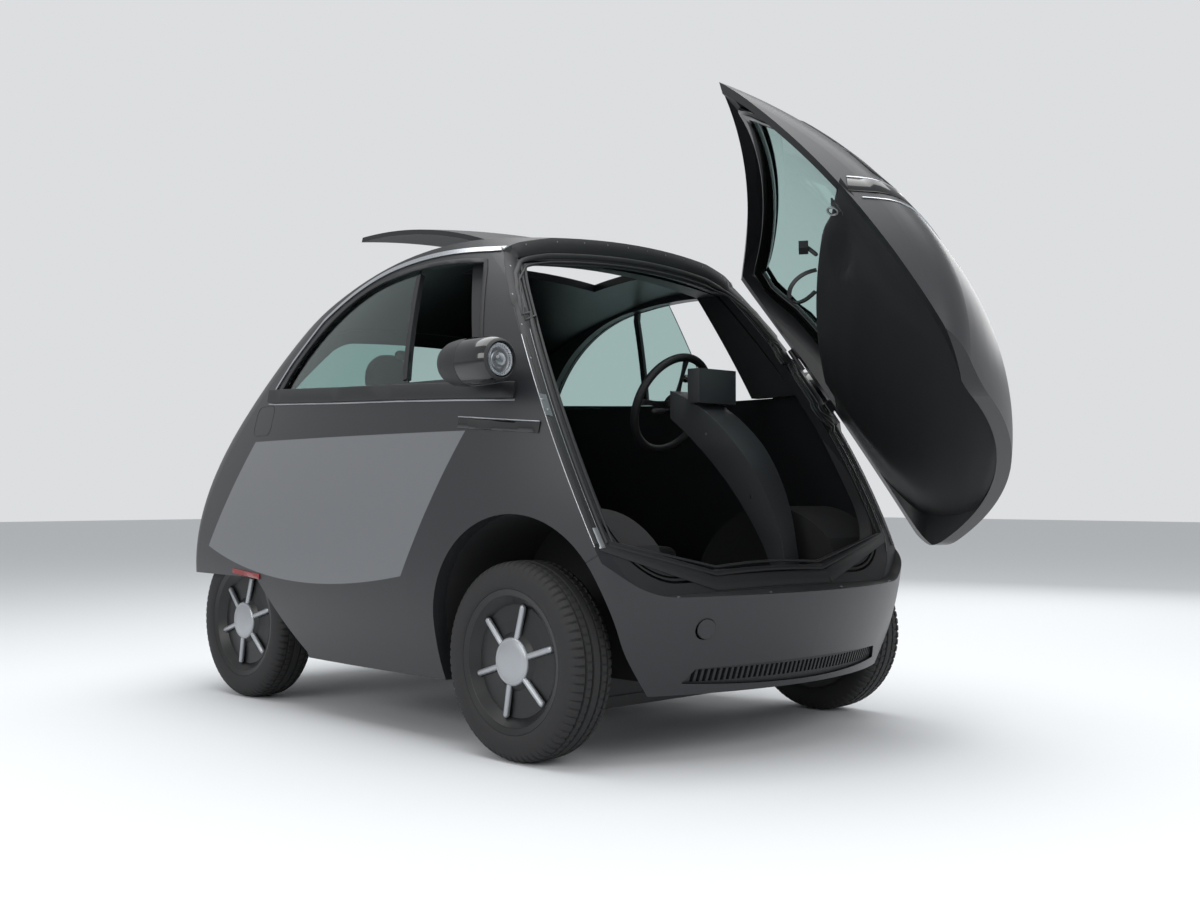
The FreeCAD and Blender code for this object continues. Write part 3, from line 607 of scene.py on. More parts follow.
# Tyres and wheels
def tyre_profile(radius):
    "section points: side wall, shoulder, crown, other side, inner wall; columns: along the axle, radius"
    half = [(0.0597, 0.1926), (0.0662, 0.1930), (0.0700, 0.1985), (0.0718, 0.2080), (0.0723, 0.2190),
            (0.0716, 0.2300), (0.0696, 0.2405), (0.0662, 0.2490), (0.0640, 0.2525), (0.0610, 0.2560),
            (0.0575, 0.2592), (0.0530, 0.2618), (0.0480, 0.2636), (0.0420, 0.2648), (0.0400, 0.2651),
            (0.0360, 0.2654), (0.0340, 0.2656), (0.0260, 0.2660), (0.0180, 0.2662), (0.0160, 0.2663),
            (0.0120, 0.2664), (0.0100, 0.2664), (0.0, 0.2665)]
    half = [(a, r * radius / TYRE_RADIUS) for a, r in half]
    return half + [(-a, r) for a, r in half[-2::-1]] + [(-0.0556, 0.1814), (0.0556, 0.1814)]


GROOVES = ((0.0115, 0.0165), (0.0345, 0.0405))  # edges of the ring grooves on each half, from the tyre's middle
TREAD_REACH = 0.0195  # how far below the crown the cuts between the blocks go
ROWS = 5  # rows of points to a block; one of them is the cut


def make_tyre(where, sizes):
    centre = WHEELS[where][1]
    profile = tyre_profile(sizes.radius)
    count, k = sizes.blocks * ROWS, len(profile)
    verts, faces, uv = lathe(profile, count, centre, (0, 1, 0), closed=True)
    for i in range(count):
        for j, (a, r) in enumerate(profile):
            if r < sizes.radius - TREAD_REACH:
                continue
            flat, phase = abs(a), i + (2 if a < 0 else 0)
            cut = 0.0
            if any(inner < flat < outer for inner, outer in GROOVES):
                cut = sizes.groove
            elif flat >= GROOVES[1][1] and phase % ROWS == 0:
                cut = sizes.groove * 0.75
            elif GROOVES[0][1] <= flat <= GROOVES[1][0] and (phase + 2) % ROWS == 0:
                cut = sizes.groove * 0.5
            v = verts[i * k + j]
            verts[i * k + j] = v - Vector((v.x - centre.x, 0, v.z - centre.z)).normalized() * cut
    ob = new_piece("tread_" + where, (verts, faces), "tyre", 28, "roll_" + where, "tyre_black", uv=uv)
    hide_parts("tyre_" + where)


def make_wheel_face(where):
    "domed cap and six rounded arms on the black wheel, with a black bead where it meets the tyre"
    side, centre = WHEELS[where]
    axis = Vector((0, side, 0))
    roll = {"body": "roll_" + where, "slot": "wheel_gloss"}
    # columns: out along the axle, radius
    cap = [(0.0450, 0.0), (0.0450, 0.0640), (0.0560, 0.0645), (0.0600, 0.0625), (0.0618, 0.0590), (0.0622, 0.0575),
           (0.0616, 0.0560), (0.0622, 0.0545), (0.0645, 0.0420), (0.0658, 0.0250), (0.0662, 0.0)]
    bead = [(0.0590, 0.1752), (0.0606, 0.1758), (0.0618, 0.1742), (0.0606, 0.1722), (0.0590, 0.1716)]
    root, tip, thick = (0.0510, 0.055), (0.0465, 0.1475), 0.0088
    arms = []
    for i in range(6):
        t = math.radians(60 * i + 17)
        d = Vector((math.cos(t), 0, math.sin(t)))
        arms.append(capsule(centre + axis * root[0] + d * root[1], centre + axis * tip[0] + d * tip[1], thick, 16))
    turned("cap_and_arms_" + where, cap, 64, centre, axis, "silver", 40, extra=arms, **roll)
    turned("rim_bead_" + where, bead, 96, centre, axis, "disc", 60, closed=True, **roll)


class MICROCAR_OT_wheels(bpy.types.Operator):
    """Tyres with moulded tread, silver cap and arms on each wheel"""
    bl_idname = "microcar.wheels"
    bl_label = "Tyres and wheels"

    def execute(self, context):
        for where in WHEELS:
            make_tyre(where, context.scene.microcar_tyre)
            make_wheel_face(where)
        return {"FINISHED"}


# Lamp pods
def make_pod(word, side, sizes):
    at, ahead = Vector((0.560, side * 0.757, 1.065)), Vector((1, 0, 0))
    r = sizes.radius - 0.0008
    # columns: forward of the pod's rear tip, radius
    shell = [(0.0, 0.0), (0.0008, 0.014), (0.004, 0.028), (0.012, 0.041), (0.026, 0.052), (0.048, 0.0605),
             (0.080, r - 0.0008), (0.112, r), (0.1135, r - 0.0012), (0.1150, r), (0.150, r), (0.190, r - 0.0012),
             (0.215, r - 0.004), (0.229, r - 0.009), (0.235, r - 0.0145), (0.2358, r - 0.0165), (0.232, r - 0.0180),
             (0.222, r - 0.0185), (0.222, 0.0)]
    nose = [(0.1165, r + 0.0004), (0.150, r + 0.0006), (0.190, r - 0.0006), (0.214, r - 0.0034), (0.2285, r - 0.0086),
            (0.2345, r - 0.0143), (0.2350, r - 0.0160), (0.2310, r - 0.0170), (0.2310, r - 0.0215),
            (0.2240, r - 0.0220), (0.1900, r - 0.0080), (0.1165, r - 0.0060)]
    bowl = [(0.2222, 0.0), (0.2222, r - 0.0186), (0.2275, r - 0.0190), (0.2275, sizes.ring),
            (0.2235, sizes.ring - 0.012), (0.2235, 0.0235), (0.2270, 0.0225), (0.2270, 0.0)]
    dome = [math.radians(10 * i) for i in range(10)]
    ball = [(0.2271, 0.0205)] + [(0.2271 + 0.0085 * math.sin(t), 0.0200 * math.cos(t)) for t in dome] + [(0.2271, 0.0)]
    stalk = capsule((0.650, side * 0.645, 1.043), (0.650, side * 0.735, 1.043), 0.0255, 24, 3)
    teeth = []
    for t in round_steps(sizes.teeth):
        d = Vector((0, math.cos(t), math.sin(t)))
        tangent = Vector((0, -math.sin(t), math.cos(t)))
        teeth.append(slab(at + Vector((0.2255, 0, 0)) + d * (sizes.ring - 0.0065), tangent, d, ahead,
                          0.0045, 0.0105, 0.0045))
    ob = turned("pod_shell_" + word, shell, 64, at, ahead, "trim", 40, extra=[stalk])
    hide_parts("lamp_pod_" + word)
    turned("pod_nose_" + word, nose, 64, at, ahead, "gloss", 40, closed=True)
    turned("pod_reflector_" + word, bowl, 64, at, ahead, "bright", 30, slot="trim_bright")
    ob = turned("ring_lens_" + word, ball, 40, at, ahead, "lens", 30, extra=teeth, slot="lens_clear")
    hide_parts("lamp_lens_" + word)


class MICROCAR_OT_lamps(bpy.types.Operator):
    """Lamp pods on the flanks with a toothed light ring and a projector lens"""
    bl_idname = "microcar.lamps"
    bl_label = "Lamp pods"

    def execute(self, context):
        for word, side in SIDES:
            make_pod(word, side, context.scene.microcar_lamp)
        return {"FINISHED"}


# Door opening: facing, seals, latch
class MICROCAR_OT_opening(bpy.types.Operator):
    """Black facing, bright edge lines, rubber seals, catch and screws on the body round the door opening"""
    bl_idname = "microcar.opening"
    bl_label = "Door opening"

    def execute(self, context):
        trim = context.scene.microcar_trim
        skin, above = BODY_SKIN, BODY_SKIN + 1 * MM
        strip("opening_facing", shut_loop(24 * MM, skin), bar_section(42 * MM, 1.4 * MM), "trim", 50, True)
        for word, low, high in (("left", -32, 18), ("right", 162, 212)):
            strip("pillar_line_" + word, shut_loop(3 * MM, skin, 40, low, high), disc_section(1.3 * MM, 8), "bright",
                  50, slot="trim_bright")
            strip("pillar_ridge_" + word, shut_loop(18 * MM, above, 40, low, high), bar_section(4 * MM, 2 * MM),
                  crease=50)
            strip("pillar_line_inner_" + word, shut_loop(38 * MM, above, 40, low - 3, high),
                  disc_section(1.1 * MM, 8), "zinc", 50, slot="trim_bright")
        flat = [(u * 1.3, v * 0.60) for u, v in disc_section(trim.seal, 14)]
        strip("opening_seal", shut_loop(54 * MM, skin), flat, crease=50, closed=True)
        strip("opening_seal_inner", shut_loop(73 * MM, skin - 1 * MM), disc_section(4.5 * MM), crease=50, closed=True)
        self.latch()
        heads("opening_screws", *shut_loop(12 * MM, -1.1 * MM, trim.screws, 12, 168), 2.6 * MM)
        return {"FINISHED"}

    def latch(self):
        "catch on the right, and the bright striker plate near the lower corner"
        points, normals = shut_loop(15 * MM, BODY_SKIN, 9, 176, 184)
        mid, out = points[4], normals[4]
        up = (points[0] - points[8]).normalized()
        across = out.cross(up)
        parts = [slab(mid, across, up, out, 0.024, 0.070, 0.0030)]
        for step in (-1, 1):
            root = mid + up * (0.016 * step) + out * 0.0004
            parts.append(capsule(root, root + across * (0.010 * step), 0.0040, 12))
        new_piece("door_catch", join(*parts), "zinc", 30, slot="chassis_steel")
        strip("striker_plate", shut_loop(28 * MM, -1.2 * MM, 12, 206, 214), bar_section(22 * MM, 1.6 * MM), "silver",
              50, slot="trim_bright")


def heads(name, points, normals, radius):
    "screw heads set on points by Geometry Nodes, one instance to a point"
    cloud = bpy.data.meshes.new(name + "_points")
    cloud.from_pydata([tuple(p) for p in points], [], [])
    facing = cloud.attributes.new("facing", "FLOAT_VECTOR", "POINT")
    for i, n in enumerate(normals):
        facing.data[i].vector = n
    ob = linked(name, cloud)
    tree = bpy.data.node_groups.new("screw_heads", "GeometryNodeTree")
    tree.interface.new_socket("Geometry", in_out="INPUT", socket_type="NodeSocketGeometry")
    size = tree.interface.new_socket("Head radius", in_out="INPUT", socket_type="NodeSocketFloat")
    tree.interface.new_socket("Geometry", in_out="OUTPUT", socket_type="NodeSocketGeometry")
    entry, leave, head, read, align, spread, real, paint = [tree.nodes.new(kind) for kind in (
        "NodeGroupInput", "NodeGroupOutput", "GeometryNodeMeshCylinder", "GeometryNodeInputNamedAttribute",
        "FunctionNodeAlignRotationToVector", "GeometryNodeInstanceOnPoints", "GeometryNodeRealizeInstances",
        "GeometryNodeSetMaterial")]
    read.data_type, align.axis = "FLOAT_VECTOR", "Z"
    for node, socket, value in ((head, "Vertices", 14), (head, "Depth", 0.35), (read, "Name", "facing"),
                                (paint, "Material", F["zinc"])):
        node.inputs[socket].default_value = value
    for source, output, target, socket in (
            (head, "Mesh", spread, "Instance"), (entry, "Geometry", spread, "Points"),
            (read, "Attribute", align, "Vector"), (align, "Rotation", spread, "Rotation"),
            (entry, "Head radius", spread, "Scale"), (spread, "Instances", real, "Geometry"),
            (real, "Geometry", paint, "Geometry"), (paint, "Geometry", leave, "Geometry")):
        tree.links.new(source.outputs[output], target.inputs[socket])
    mod = ob.modifiers.new("heads", "NODES")
    mod.node_group = tree
    mod[size.identifier] = radius
    settle(ob)
    if not ob.data.polygons:
        raise RuntimeError("no screw heads were made for " + name)
    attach(ob, "body")


# Flank trim: belt, window gaskets, badge bar, charge flap, side marker; columns of BELT: x, z
WINDOW_LOW = 1.035
BELT = [(-0.575, 1.040), (-0.52, 1.036), (-0.08, 1.018), (0.26, 1.008), (0.53, 0.999), (0.745, 0.991)]


def window_outline(grow=0.0):
    "outline of the side window, moved out a little, from the front foot round to the rear foot"
    top = arc3((0.478, 1.380 + grow), (0.270, 1.393 + grow), (0.060, 1.378 + grow), 14)
    rear = arc3((0.060, 1.378 + grow), (-0.225, 1.293 + grow), (-0.462 - grow, 1.098), 22)
    front = dense([(0.600 + grow, WINDOW_LOW), (0.478 + grow * 0.7, 1.380 + grow)], 0.03)
    return front[:-1] + top[:-1] + rear + [(-0.500 - grow, WINDOW_LOW)]


class MICROCAR_OT_flanks(bpy.types.Operator):
    """Belt trim with a silver line under it as a painted highlight, window gaskets, bare badge bars, charge flap and
    side markers
    """
    bl_idname = "microcar.flanks"
    bl_label = "Flank trim"

    def execute(self, context):
        belt = context.scene.microcar_trim.belt
        line = dense(BELT, 0.04)
        for word, side in SIDES:
            strip("belt_trim_" + word, level_path(line, side, 0.020, 0.0005, (0, side, 0.12)),
                  bar_section(belt, 0.006, 0.4))
            # thin silver bead just under the belt trim: a painted highlight, a bright line standing in for the light
            # along the flank under the belt band
            strip("belt_painted_highlight_" + word, side_path([(x, z - belt / 2 - 0.004) for x, z in line], side),
                  bar_section(0.005, 0.0025, 0.5), "silver")
            strip("window_gasket_" + word, side_path(window_outline(0.006), side), bar_section(0.015, 0.0035, 0.4))
            self.badge_bar(word, side)
            if side < 0:
                strip("charge_flap_seam", side_path(rounded(-0.655, -0.515, 0.905, 1.005, 0.028), side, -0.0006),
                      disc_section(0.0016, 6), crease=60, closed=True)
            marker = [(x, 0.4385 + (x + 0.62) * -0.05) for x in spaced(-0.735, -0.520, 12)]
            strip("side_marker_" + word, side_path(marker, side), bar_section(0.018, 0.004, 0.4), "red",
                  slot="light_bar_rear")
            self.slider(word, side)
        return {"FINISHED"}

    def badge_bar(self, word, side):
        "a bare bar under the belt line with a bright upper edge"
        bar = [(x, 0.908 - (x - 0.55) * 0.075) for x in spaced(0.550, 0.848, 14)]
        for name, rise, wide, thick, finish, slot in (
                ("badge_bar_", 0.0, 0.030, 0.0035, "gloss", "trim_black"),
                ("badge_bar_edge_", 0.0165, 0.003, 0.004, "silver", "trim_bright")):
            line = level_path([(x, z + rise) for x, z in bar], side, rise, 0.0006, (0.25, side, 0.16), 0.5)
            strip(name + word, line, bar_section(wide, thick, 0.5), finish, slot=slot)

    def slider(self, word, side):
        "upright edge of the sliding pane, with its small round catch"
        hull = tree_of(["side_panel_" + word, "side_glass_" + word, "roof_panel"])
        foot, lean, catch = (-0.030, 0.15, 0.205) if side > 0 else (0.262, -0.24, 0.18)
        path, normals = [], []
        low, high = 1.045, 1.375
        for z in spaced(low, high, 12):
            x = foot + (z - low) * lean
            p, n = on_side(x - 0.012, z, side, hull)
            if p is not None:
                path.append(Vector((x, p.y, p.z)))
                normals.append(n)
        section = [(-0.010, -0.014), (-0.010, 0.003), (0.010, 0.003), (0.010, -0.014)]
        strip("pane_edge_" + word, (path, normals), section)
        at, out = on_side(catch, 1.13, side, hull)
        knob = at - out * 0.018
        new_piece("pane_catch_" + word, capsule(knob, knob - Vector((0, side * 0.016, 0)), 0.015, 20), "gloss")


# Front bumper details
class MICROCAR_OT_bumper(bpy.types.Operator):
    """Tow eye cover, bumper screws and the seams at the bumper's ends"""
    bl_idname = "microcar.bumper"
    bl_label = "Bumper details"

    def execute(self, context):
        y, z = -0.400, 0.360
        p, n = on_front(y, z + 0.034)
        cover = [(-0.004, 0.0), (-0.004, 0.0270), (0.0, 0.0270), (0.0015, 0.0255), (0.0018, 0.0)]
        turned("tow_eye_cover", cover, 40, Vector((p.x - 0.004, y, z)), n, "paint", 40, slot="body_matt")
        down = Vector((0, 0, -1))
        screws = [BODY_TREE.ray_cast(Vector((x, y, 0.6)), down)[:2]
                  for x, y in ((1.165, -0.475), (1.215, -0.16), (1.215, 0.16), (1.165, 0.475))]
        heads("bumper_screws", *laid(screws, lambda n: -down * MM), 5.0 * MM)
        run = [(x, 0.502 + (x - 0.962) * 0.55) for x in spaced(0.960, 1.056, 10)]
        for word, side in SIDES:
            strip("bumper_seam_" + word, side_path(run, side, -0.0004), disc_section(0.0020, 6), crease=60)
        return {"FINISHED"}


# Cabin: steering wheel, display, stalks, seats
def soft_copy(name, node, body, finish, width):
    "the CAD piece with its sharp edges rounded"
    ob = linked(name, cleaned(NODES[node].data.copy(), 1e-4, 1.0))
    mod = ob.modifiers.new("edge", "BEVEL")
    mod.width, mod.segments, mod.limit_method, mod.angle_limit = width, 4, "ANGLE", math.radians(35)
    dressed(settle(ob), finish, 35, body)
    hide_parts(node)


class MICROCAR_OT_steering(bpy.types.Operator):
    """Black-rimmed wheel with three metal spokes, column stalks, the beam that carries them and the display"""
    bl_idname = "microcar.steering"
    bl_label = "Steering"

    def execute(self, context):
        joint = JOINTS["steering_wheel"]
        at, axis = Vector(joint["pos_m"]), Vector(joint["axis"]).normalized()
        right = Vector((0, 1, 0))
        up = axis.cross(right).normalized()
        # columns: along the axis, radius
        rim_radius, rim_thick = 0.165, 0.0138
        rim = [(u, rim_radius + v) for u, v in disc_section(rim_thick, 16)]
        hub = [(-0.0245, 0.0), (-0.0245, 0.036), (0.0, 0.0365), (0.0055, 0.034), (0.0058, 0.0)]
        column = capsule(at - axis * 0.066, at - axis * 0.022, 0.0178, 20)
        ob = turned("wheel_rim", rim, 96, at, axis, "trim", 50, closed=True,
                    extra=[lathe(hub, 48, at, axis)[:2], column], body="steering", slot="steering_rim")
        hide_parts("steering_wheel")
        spokes = []
        for degrees in (0, 180, 270):
            t = math.radians(degrees)
            d = right * math.cos(t) + up * math.sin(t)
            across = axis.cross(d)
            verts = []
            for s in spaced(0, 1, 8):
                q = at - axis * (0.010 - 0.010 * s) + d * (0.030 + 0.126 * s)
                half = 0.015 - 0.006 * math.sin(math.pi * s)
                verts += [q + across * a + axis * b for a, b in ((-half, -0.002), (-half + 0.003, 0.002),
                                                                 (half - 0.003, 0.002), (half, -0.002))]
            spokes.append(tube(verts, 4))
        new_piece("wheel_spokes", join(*spokes), "bright", 35, "steering", "steering_rim")
        stalks, root = [], at - axis * 0.060
        for s in (-1, 1):
            for a, b, radius in (  # ends as (across, up, along), radius: the rod and its grip
                    ((0.028, 0, 0), (0.120, 0.012, 0.010), 0.0065),
                    ((0.095, 0.009, 0.007), (0.128, 0.013, 0.011), 0.0095)):
                p, q = [root + right * s * e[0] + up * e[1] + axis * e[2] for e in (a, b)]
                stalks.append(capsule(p, q, radius))
        new_piece("column_stalks", join(*stalks), "trim")
        soft_copy("steering_beam", "steering_arm", "body", "beam", 0.009)
        beam = tree_of(["steering_arm"])
        heads("beam_screws", *laid([on_side(x, z, -1, beam) for x, z in ((0.66, 0.90), (0.83, 0.70))]), 5.0 * MM)
        new_piece("display_glass", box(0.5975, 0.5990, 0.206, 0.356, 1.014, 1.096), "screen", 30)
        return {"FINISHED"}


CHANNEL_DEPTH, CHANNEL_HALF = 0.008, 0.007  # of the lines sewn into the cushions


def padded(name, node, voxel, swell, channels=()):
    """a crowned pad with pulled-in sides from a CAD soft solid, with sewn channels pressed into it:
    channels are (axis across it, place, direction pressed)"""
    ob = linked(name, cleaned(NODES[node].data.copy(), 1e-4))
    remesh = ob.modifiers.new("even", "REMESH")
    remesh.mode, remesh.voxel_size = "VOXEL", voxel
    settle(ob)
    rest = [v.co.copy() for v in ob.data.vertices]
    low, high = [[pick(c[i] for c in rest) for i in range(3)] for pick in (min, max)]
    mid = Vector([(a + b) / 2 for a, b in zip(low, high)])
    half = Vector([max(1e-4, (b - a) / 2) for a, b in zip(low, high)])
    for v, c in zip(ob.data.vertices, rest):
        d = c - mid
        q = Vector([d[i] / half[i] for i in range(3)])
        pinch = (swell[0] * q.y ** 2, swell[1] * q.x ** 2, swell[2] * (q.x ** 2 * 0.5 + q.y ** 4))
        v.co = c - Vector([d[i] * pinch[i] for i in range(3)])
    smooth = ob.modifiers.new("soft", "SMOOTH")
    smooth.factor, smooth.iterations = 0.8, 10
    settle(ob)
    normals = [v.normal.copy() for v in ob.data.vertices]
    for v, out in zip(ob.data.vertices, normals):
        for axis, place, normal in channels:
            if out.dot(Vector(normal)) > 0.3:
                v.co -= out * CHANNEL_DEPTH * math.exp(-((v.co[axis] - place) / CHANNEL_HALF) ** 2)
    dressed(ob, "cloth", None, "body")
    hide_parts(node)


class MICROCAR_OT_seats(bpy.types.Operator):
    """Bench cushion, back and two headrests in woven cloth"""
    bl_idname = "microcar.seats"
    bl_label = "Seats"

    def execute(self, context):
        lines = (0.0, -0.40, -0.13, 0.13, 0.40)
        for name, node, sink, pressed in (("bench_cushion", "seat_cushion", 0.10, (0, 0, 1)),
                                          ("bench_back", "seat_back", 0.02, (1, 0, 0.2))):
            padded(name, node, 0.008, (0.02, 0.01, sink), [(1, y, pressed) for y in lines])
        for word, _ in SIDES:
            padded("headrest_pad_" + word, "headrest_" + word, 0.005, (0.0, 0.0, 0.0))
        return {"FINISHED"}


# Front door inside
LINING_LOW = [(0.985, 0.817), (0.90, 0.866), (0.80, 0.928), (0.70, 0.993), (0.60, 1.075), (0.50, 1.180),
              (0.455, 1.236)]  # columns: height, forward place of the lining's middle
RIM = sorted({round(p.z, 4): round(p.y, 4) for p in shut_loop(8 * MM, 0.0, 90, -60, 60)[0] if p.y > 0}.items())


LINING_SWELL = 0.050  # how far the lining bows towards the cabin
RECESS_Y, RECESS_Z, RECESS_WIDE, RECESS_TALL, RECESS_DEEP = -0.42, 0.905, 0.062, 0.034, 0.020


def half_width(z):
    "half width of the door at its shut face, 8 mm inside the skin"
    for (z0, y0), (z1, y1) in zip(RIM, RIM[1:]):
        if z <= z1:
            break
    return y0 + (y1 - y0) * (z - z0) / (z1 - z0)


def lining_x(y, z):
    "forward place of the door lining: bowed to the cabin at the middle, meeting the shell at its rim"
    for (z1, x1), (z0, x0) in zip(LINING_LOW, LINING_LOW[1:]):
        if z >= z0:
            break
    base = x0 + (x1 - x0) * (z - z0) / (z1 - z0)
    face = face_at(y, z, 0.0022)[0].x
    out = min(1.0, abs(y) / half_width(max(z, 0.60)))
    crown = LINING_SWELL * (1 - out ** 2) * min(1.0, max(0.0, (z - 0.47) / 0.35))
    share = max(0.0, (out - 0.64) / 0.22)
    share = min(1.0, share) ** 2 * (3 - 2 * min(1.0, share))
    x = (base - crown) * (1 - share) + max(face, base) * share
    dent = ((y - RECESS_Y) / RECESS_WIDE) ** 2 + ((z - RECESS_Z) / RECESS_TALL) ** 2
    x += RECESS_DEEP / (1 + math.exp(6 * (dent - 1))) if dent < 4 else 0.0
    p, _ = on_front(y, z, DOOR_TREE)
    return x if p is None else min(x, max(p.x - 0.040, face))


class MICROCAR_OT_door(bpy.types.Operator):
    """Front door: bowed lining with its oval recess and ledge, screen border, strap, clip, catch, outer bands"""
    bl_idname = "microcar.door"
    bl_label = "Door inside"

    def execute(self, context):
        self.lining()
        self.ledge()
        self.border()
        self.fittings()
        self.bands()
        return {"FINISHED"}

    def lining(self):
        "a bowed plate in rings round its middle, its rim rolled back"
        rings, count, thick = 22, 120, 0.010
        centre_z, low_z, high_z, corner_half, corner = 0.72, 0.456, 0.985, 0.685, 0.205

        def inside(y, z):
            return y < half_width(z) and z < high_z and above_corner(y, z, corner_half, low_z, corner)

        rim = []
        for t in round_steps(count):
            u = (math.cos(t), math.sin(t))
            far = reach(u, centre_z, 1.0, inside)
            rim.append((u[0] * far, u[1] * far))
        verts, faces = [], []
        for back in (0, 1):
            verts.append(Vector((lining_x(0, centre_z) + thick * back, 0, centre_z)))
            for k in range(1, rings + 1):
                s = k / rings
                s = s if back else 1 - (1 - s) ** 1.3
                roll = thick * max(0.0, (k - rings + 2) / 2) ** 2
                for y, z in rim:
                    q = (y * s, centre_z + z * s)
                    verts.append(Vector((lining_x(*q) + (thick if back else roll), *q)))
        half = 1 + rings * count
        last = half - count
        turns = [(i, (i + 1) % count) for i in range(count)]
        for o in (0, half):
            for i, j in turns:
                faces.append((o, o + 1 + i, o + 1 + j))
                for a in range(o + 1, o + last, count):
                    faces.append((a + i, a + count + i, a + count + j, a + j))
        faces += [(last + i, half + last + i, half + last + j, last + j) for i, j in turns]
        ob = new_piece("door_lining", (verts, faces), "trim", 50, **ON_DOOR)
        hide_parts("door_trim")

    def ledge(self):
        "shelf that closes the lining's top edge against the shell, under the windscreen"
        verts = []
        level, top, low, gap = 0.980, 0.984, 0.972, 0.030
        for y in spaced(-0.63, 0.63, 48):
            p, _ = on_front(y, level, DOOR_TREE)
            if p is not None and p.x - gap > lining_x(y, level) + 0.012:
                back, ahead = lining_x(y, level) + 0.004, p.x - gap
                verts += [Vector((x, y, z)) for x, z in ((back, top), (ahead, top), (ahead, low), (back, low))]
        new_piece("door_ledge", tube(verts, 4), "trim", 40, **ON_DOOR)

    def border(self):
        """border of the windscreen: gloss black inside, rubber outside"""
        outline = []
        for a, m, b, count in (((0.420, 1.402), (0.0, 1.436), (-0.420, 1.402), 20),
                               ((-0.456, 1.360), (-0.527, 1.20), (-0.584, 1.042), 14),
                               ((-0.552, 1.012), (0.0, 1.002), (0.552, 1.012), 20),
                               ((0.584, 1.042), (0.527, 1.20), (0.456, 1.360), 14)):
            outline += arc3(a, m, b, count)
        for name, sink, grow, finish, section in (
                ("screen_border_inside", -0.034, 1.012, "gloss", rounded(-0.022, 0.022, -0.010, 0.012, 0.009, 3)),
                ("screen_gasket", 0.0006, 1.006, "rubber", bar_section(0.020, 0.0035, 0.4))):
            line = laid([on_front(y * grow, 1.2 + (z - 1.2) * (grow + 0.02), DOOR_TREE) for y, z in outline],
                        lambda n: n * sink)
            strip(name, line, section, finish, 50, True, **ON_DOOR)

    def fittings(self):
        "strap loop, clip and ring catch at the top of the lining"
        def top(y, z=0.975):
            return Vector((lining_x(y, z) - 0.004, y, z))

        left, down = Vector((-0.70, -0.714, 0)), Vector((0, 0, -1))
        a, b = OPEN @ top(-0.235), OPEN @ top(-0.12)
        mid = (a + b) / 2 + left * 0.075 + down * 0.045
        points = []
        for s in spaced(0, 1, 25):
            p = a * (1 - s) ** 3 + (a + left * 0.11 + down * 0.02) * 3 * s * (1 - s) ** 2
            points.append(p + (mid + left * 0.015 + down * 0.075) * 3 * s * s * (1 - s) + b * s ** 3)
        strip("pull_strap", (points, [Vector((0.5, -0.7, 0.5))] * 25), bar_section(0.013, 0.004, 0.5), crease=40,
              body="door")
        clip = top(-0.30, 0.985)
        new_piece("trim_clip", join(
            capsule(clip, clip + Vector((-0.020, 0, 0.020)), 0.006, 12),
            box(clip.x - 0.046, clip.x - 0.020, clip.y - 0.017, clip.y + 0.017, clip.z + 0.012, clip.z + 0.034)),
            "rubber", 40, **ON_DOOR)
        at, out = face_at(-0.540, 0.965, -0.002)
        across = Vector((0, 1, 0))
        plate = slab(at, across, out.cross(across), out, 0.030, 0.055, 0.004)
        turned("ring_catch", [(u, 0.013 + v) for u, v in disc_section(0.0030, 8)], 32, at - out * 0.012,
               Vector((0.3, 0.2, 1)), "zinc", 40, closed=True, extra=[plate], slot="chassis_steel", **ON_DOOR)

    def bands(self):
        "two thin bright lines and a dark band across the door's outside at belt height"
        middle_x = 0.72  # middle of the fan of rays that finds the door's skin
        for name, z, wide, thick, finish, slot in (
                ("nose_band", 0.962, 0.050, 0.0025, "gloss", "trim_black"),
                ("nose_line_upper", 0.989, 0.004, 0.0040, "bright", "trim_bright"),
                ("nose_line_lower", 0.917, 0.003, 0.0035, "bright", "trim_bright")):
            path, normals = [], []
            for degrees in spaced(-84, 84, 60):
                look = Vector((math.cos(math.radians(degrees)), math.sin(math.radians(degrees)), 0))
                p, n, _, _ = DOOR_TREE.ray_cast(Vector((middle_x, 0, z)) + look * 1.5, -look, 1.3)
                if p is None or n.dot(look) < 0.05 or p.x < face_at(p.y, z, 0.004)[0].x:
                    continue
                path.append(p + n * 0.0004)
                normals.append(n)
            strip(name, (path, normals), bar_section(wide, thick, 0.4), finish, slot=slot, **ON_DOOR)


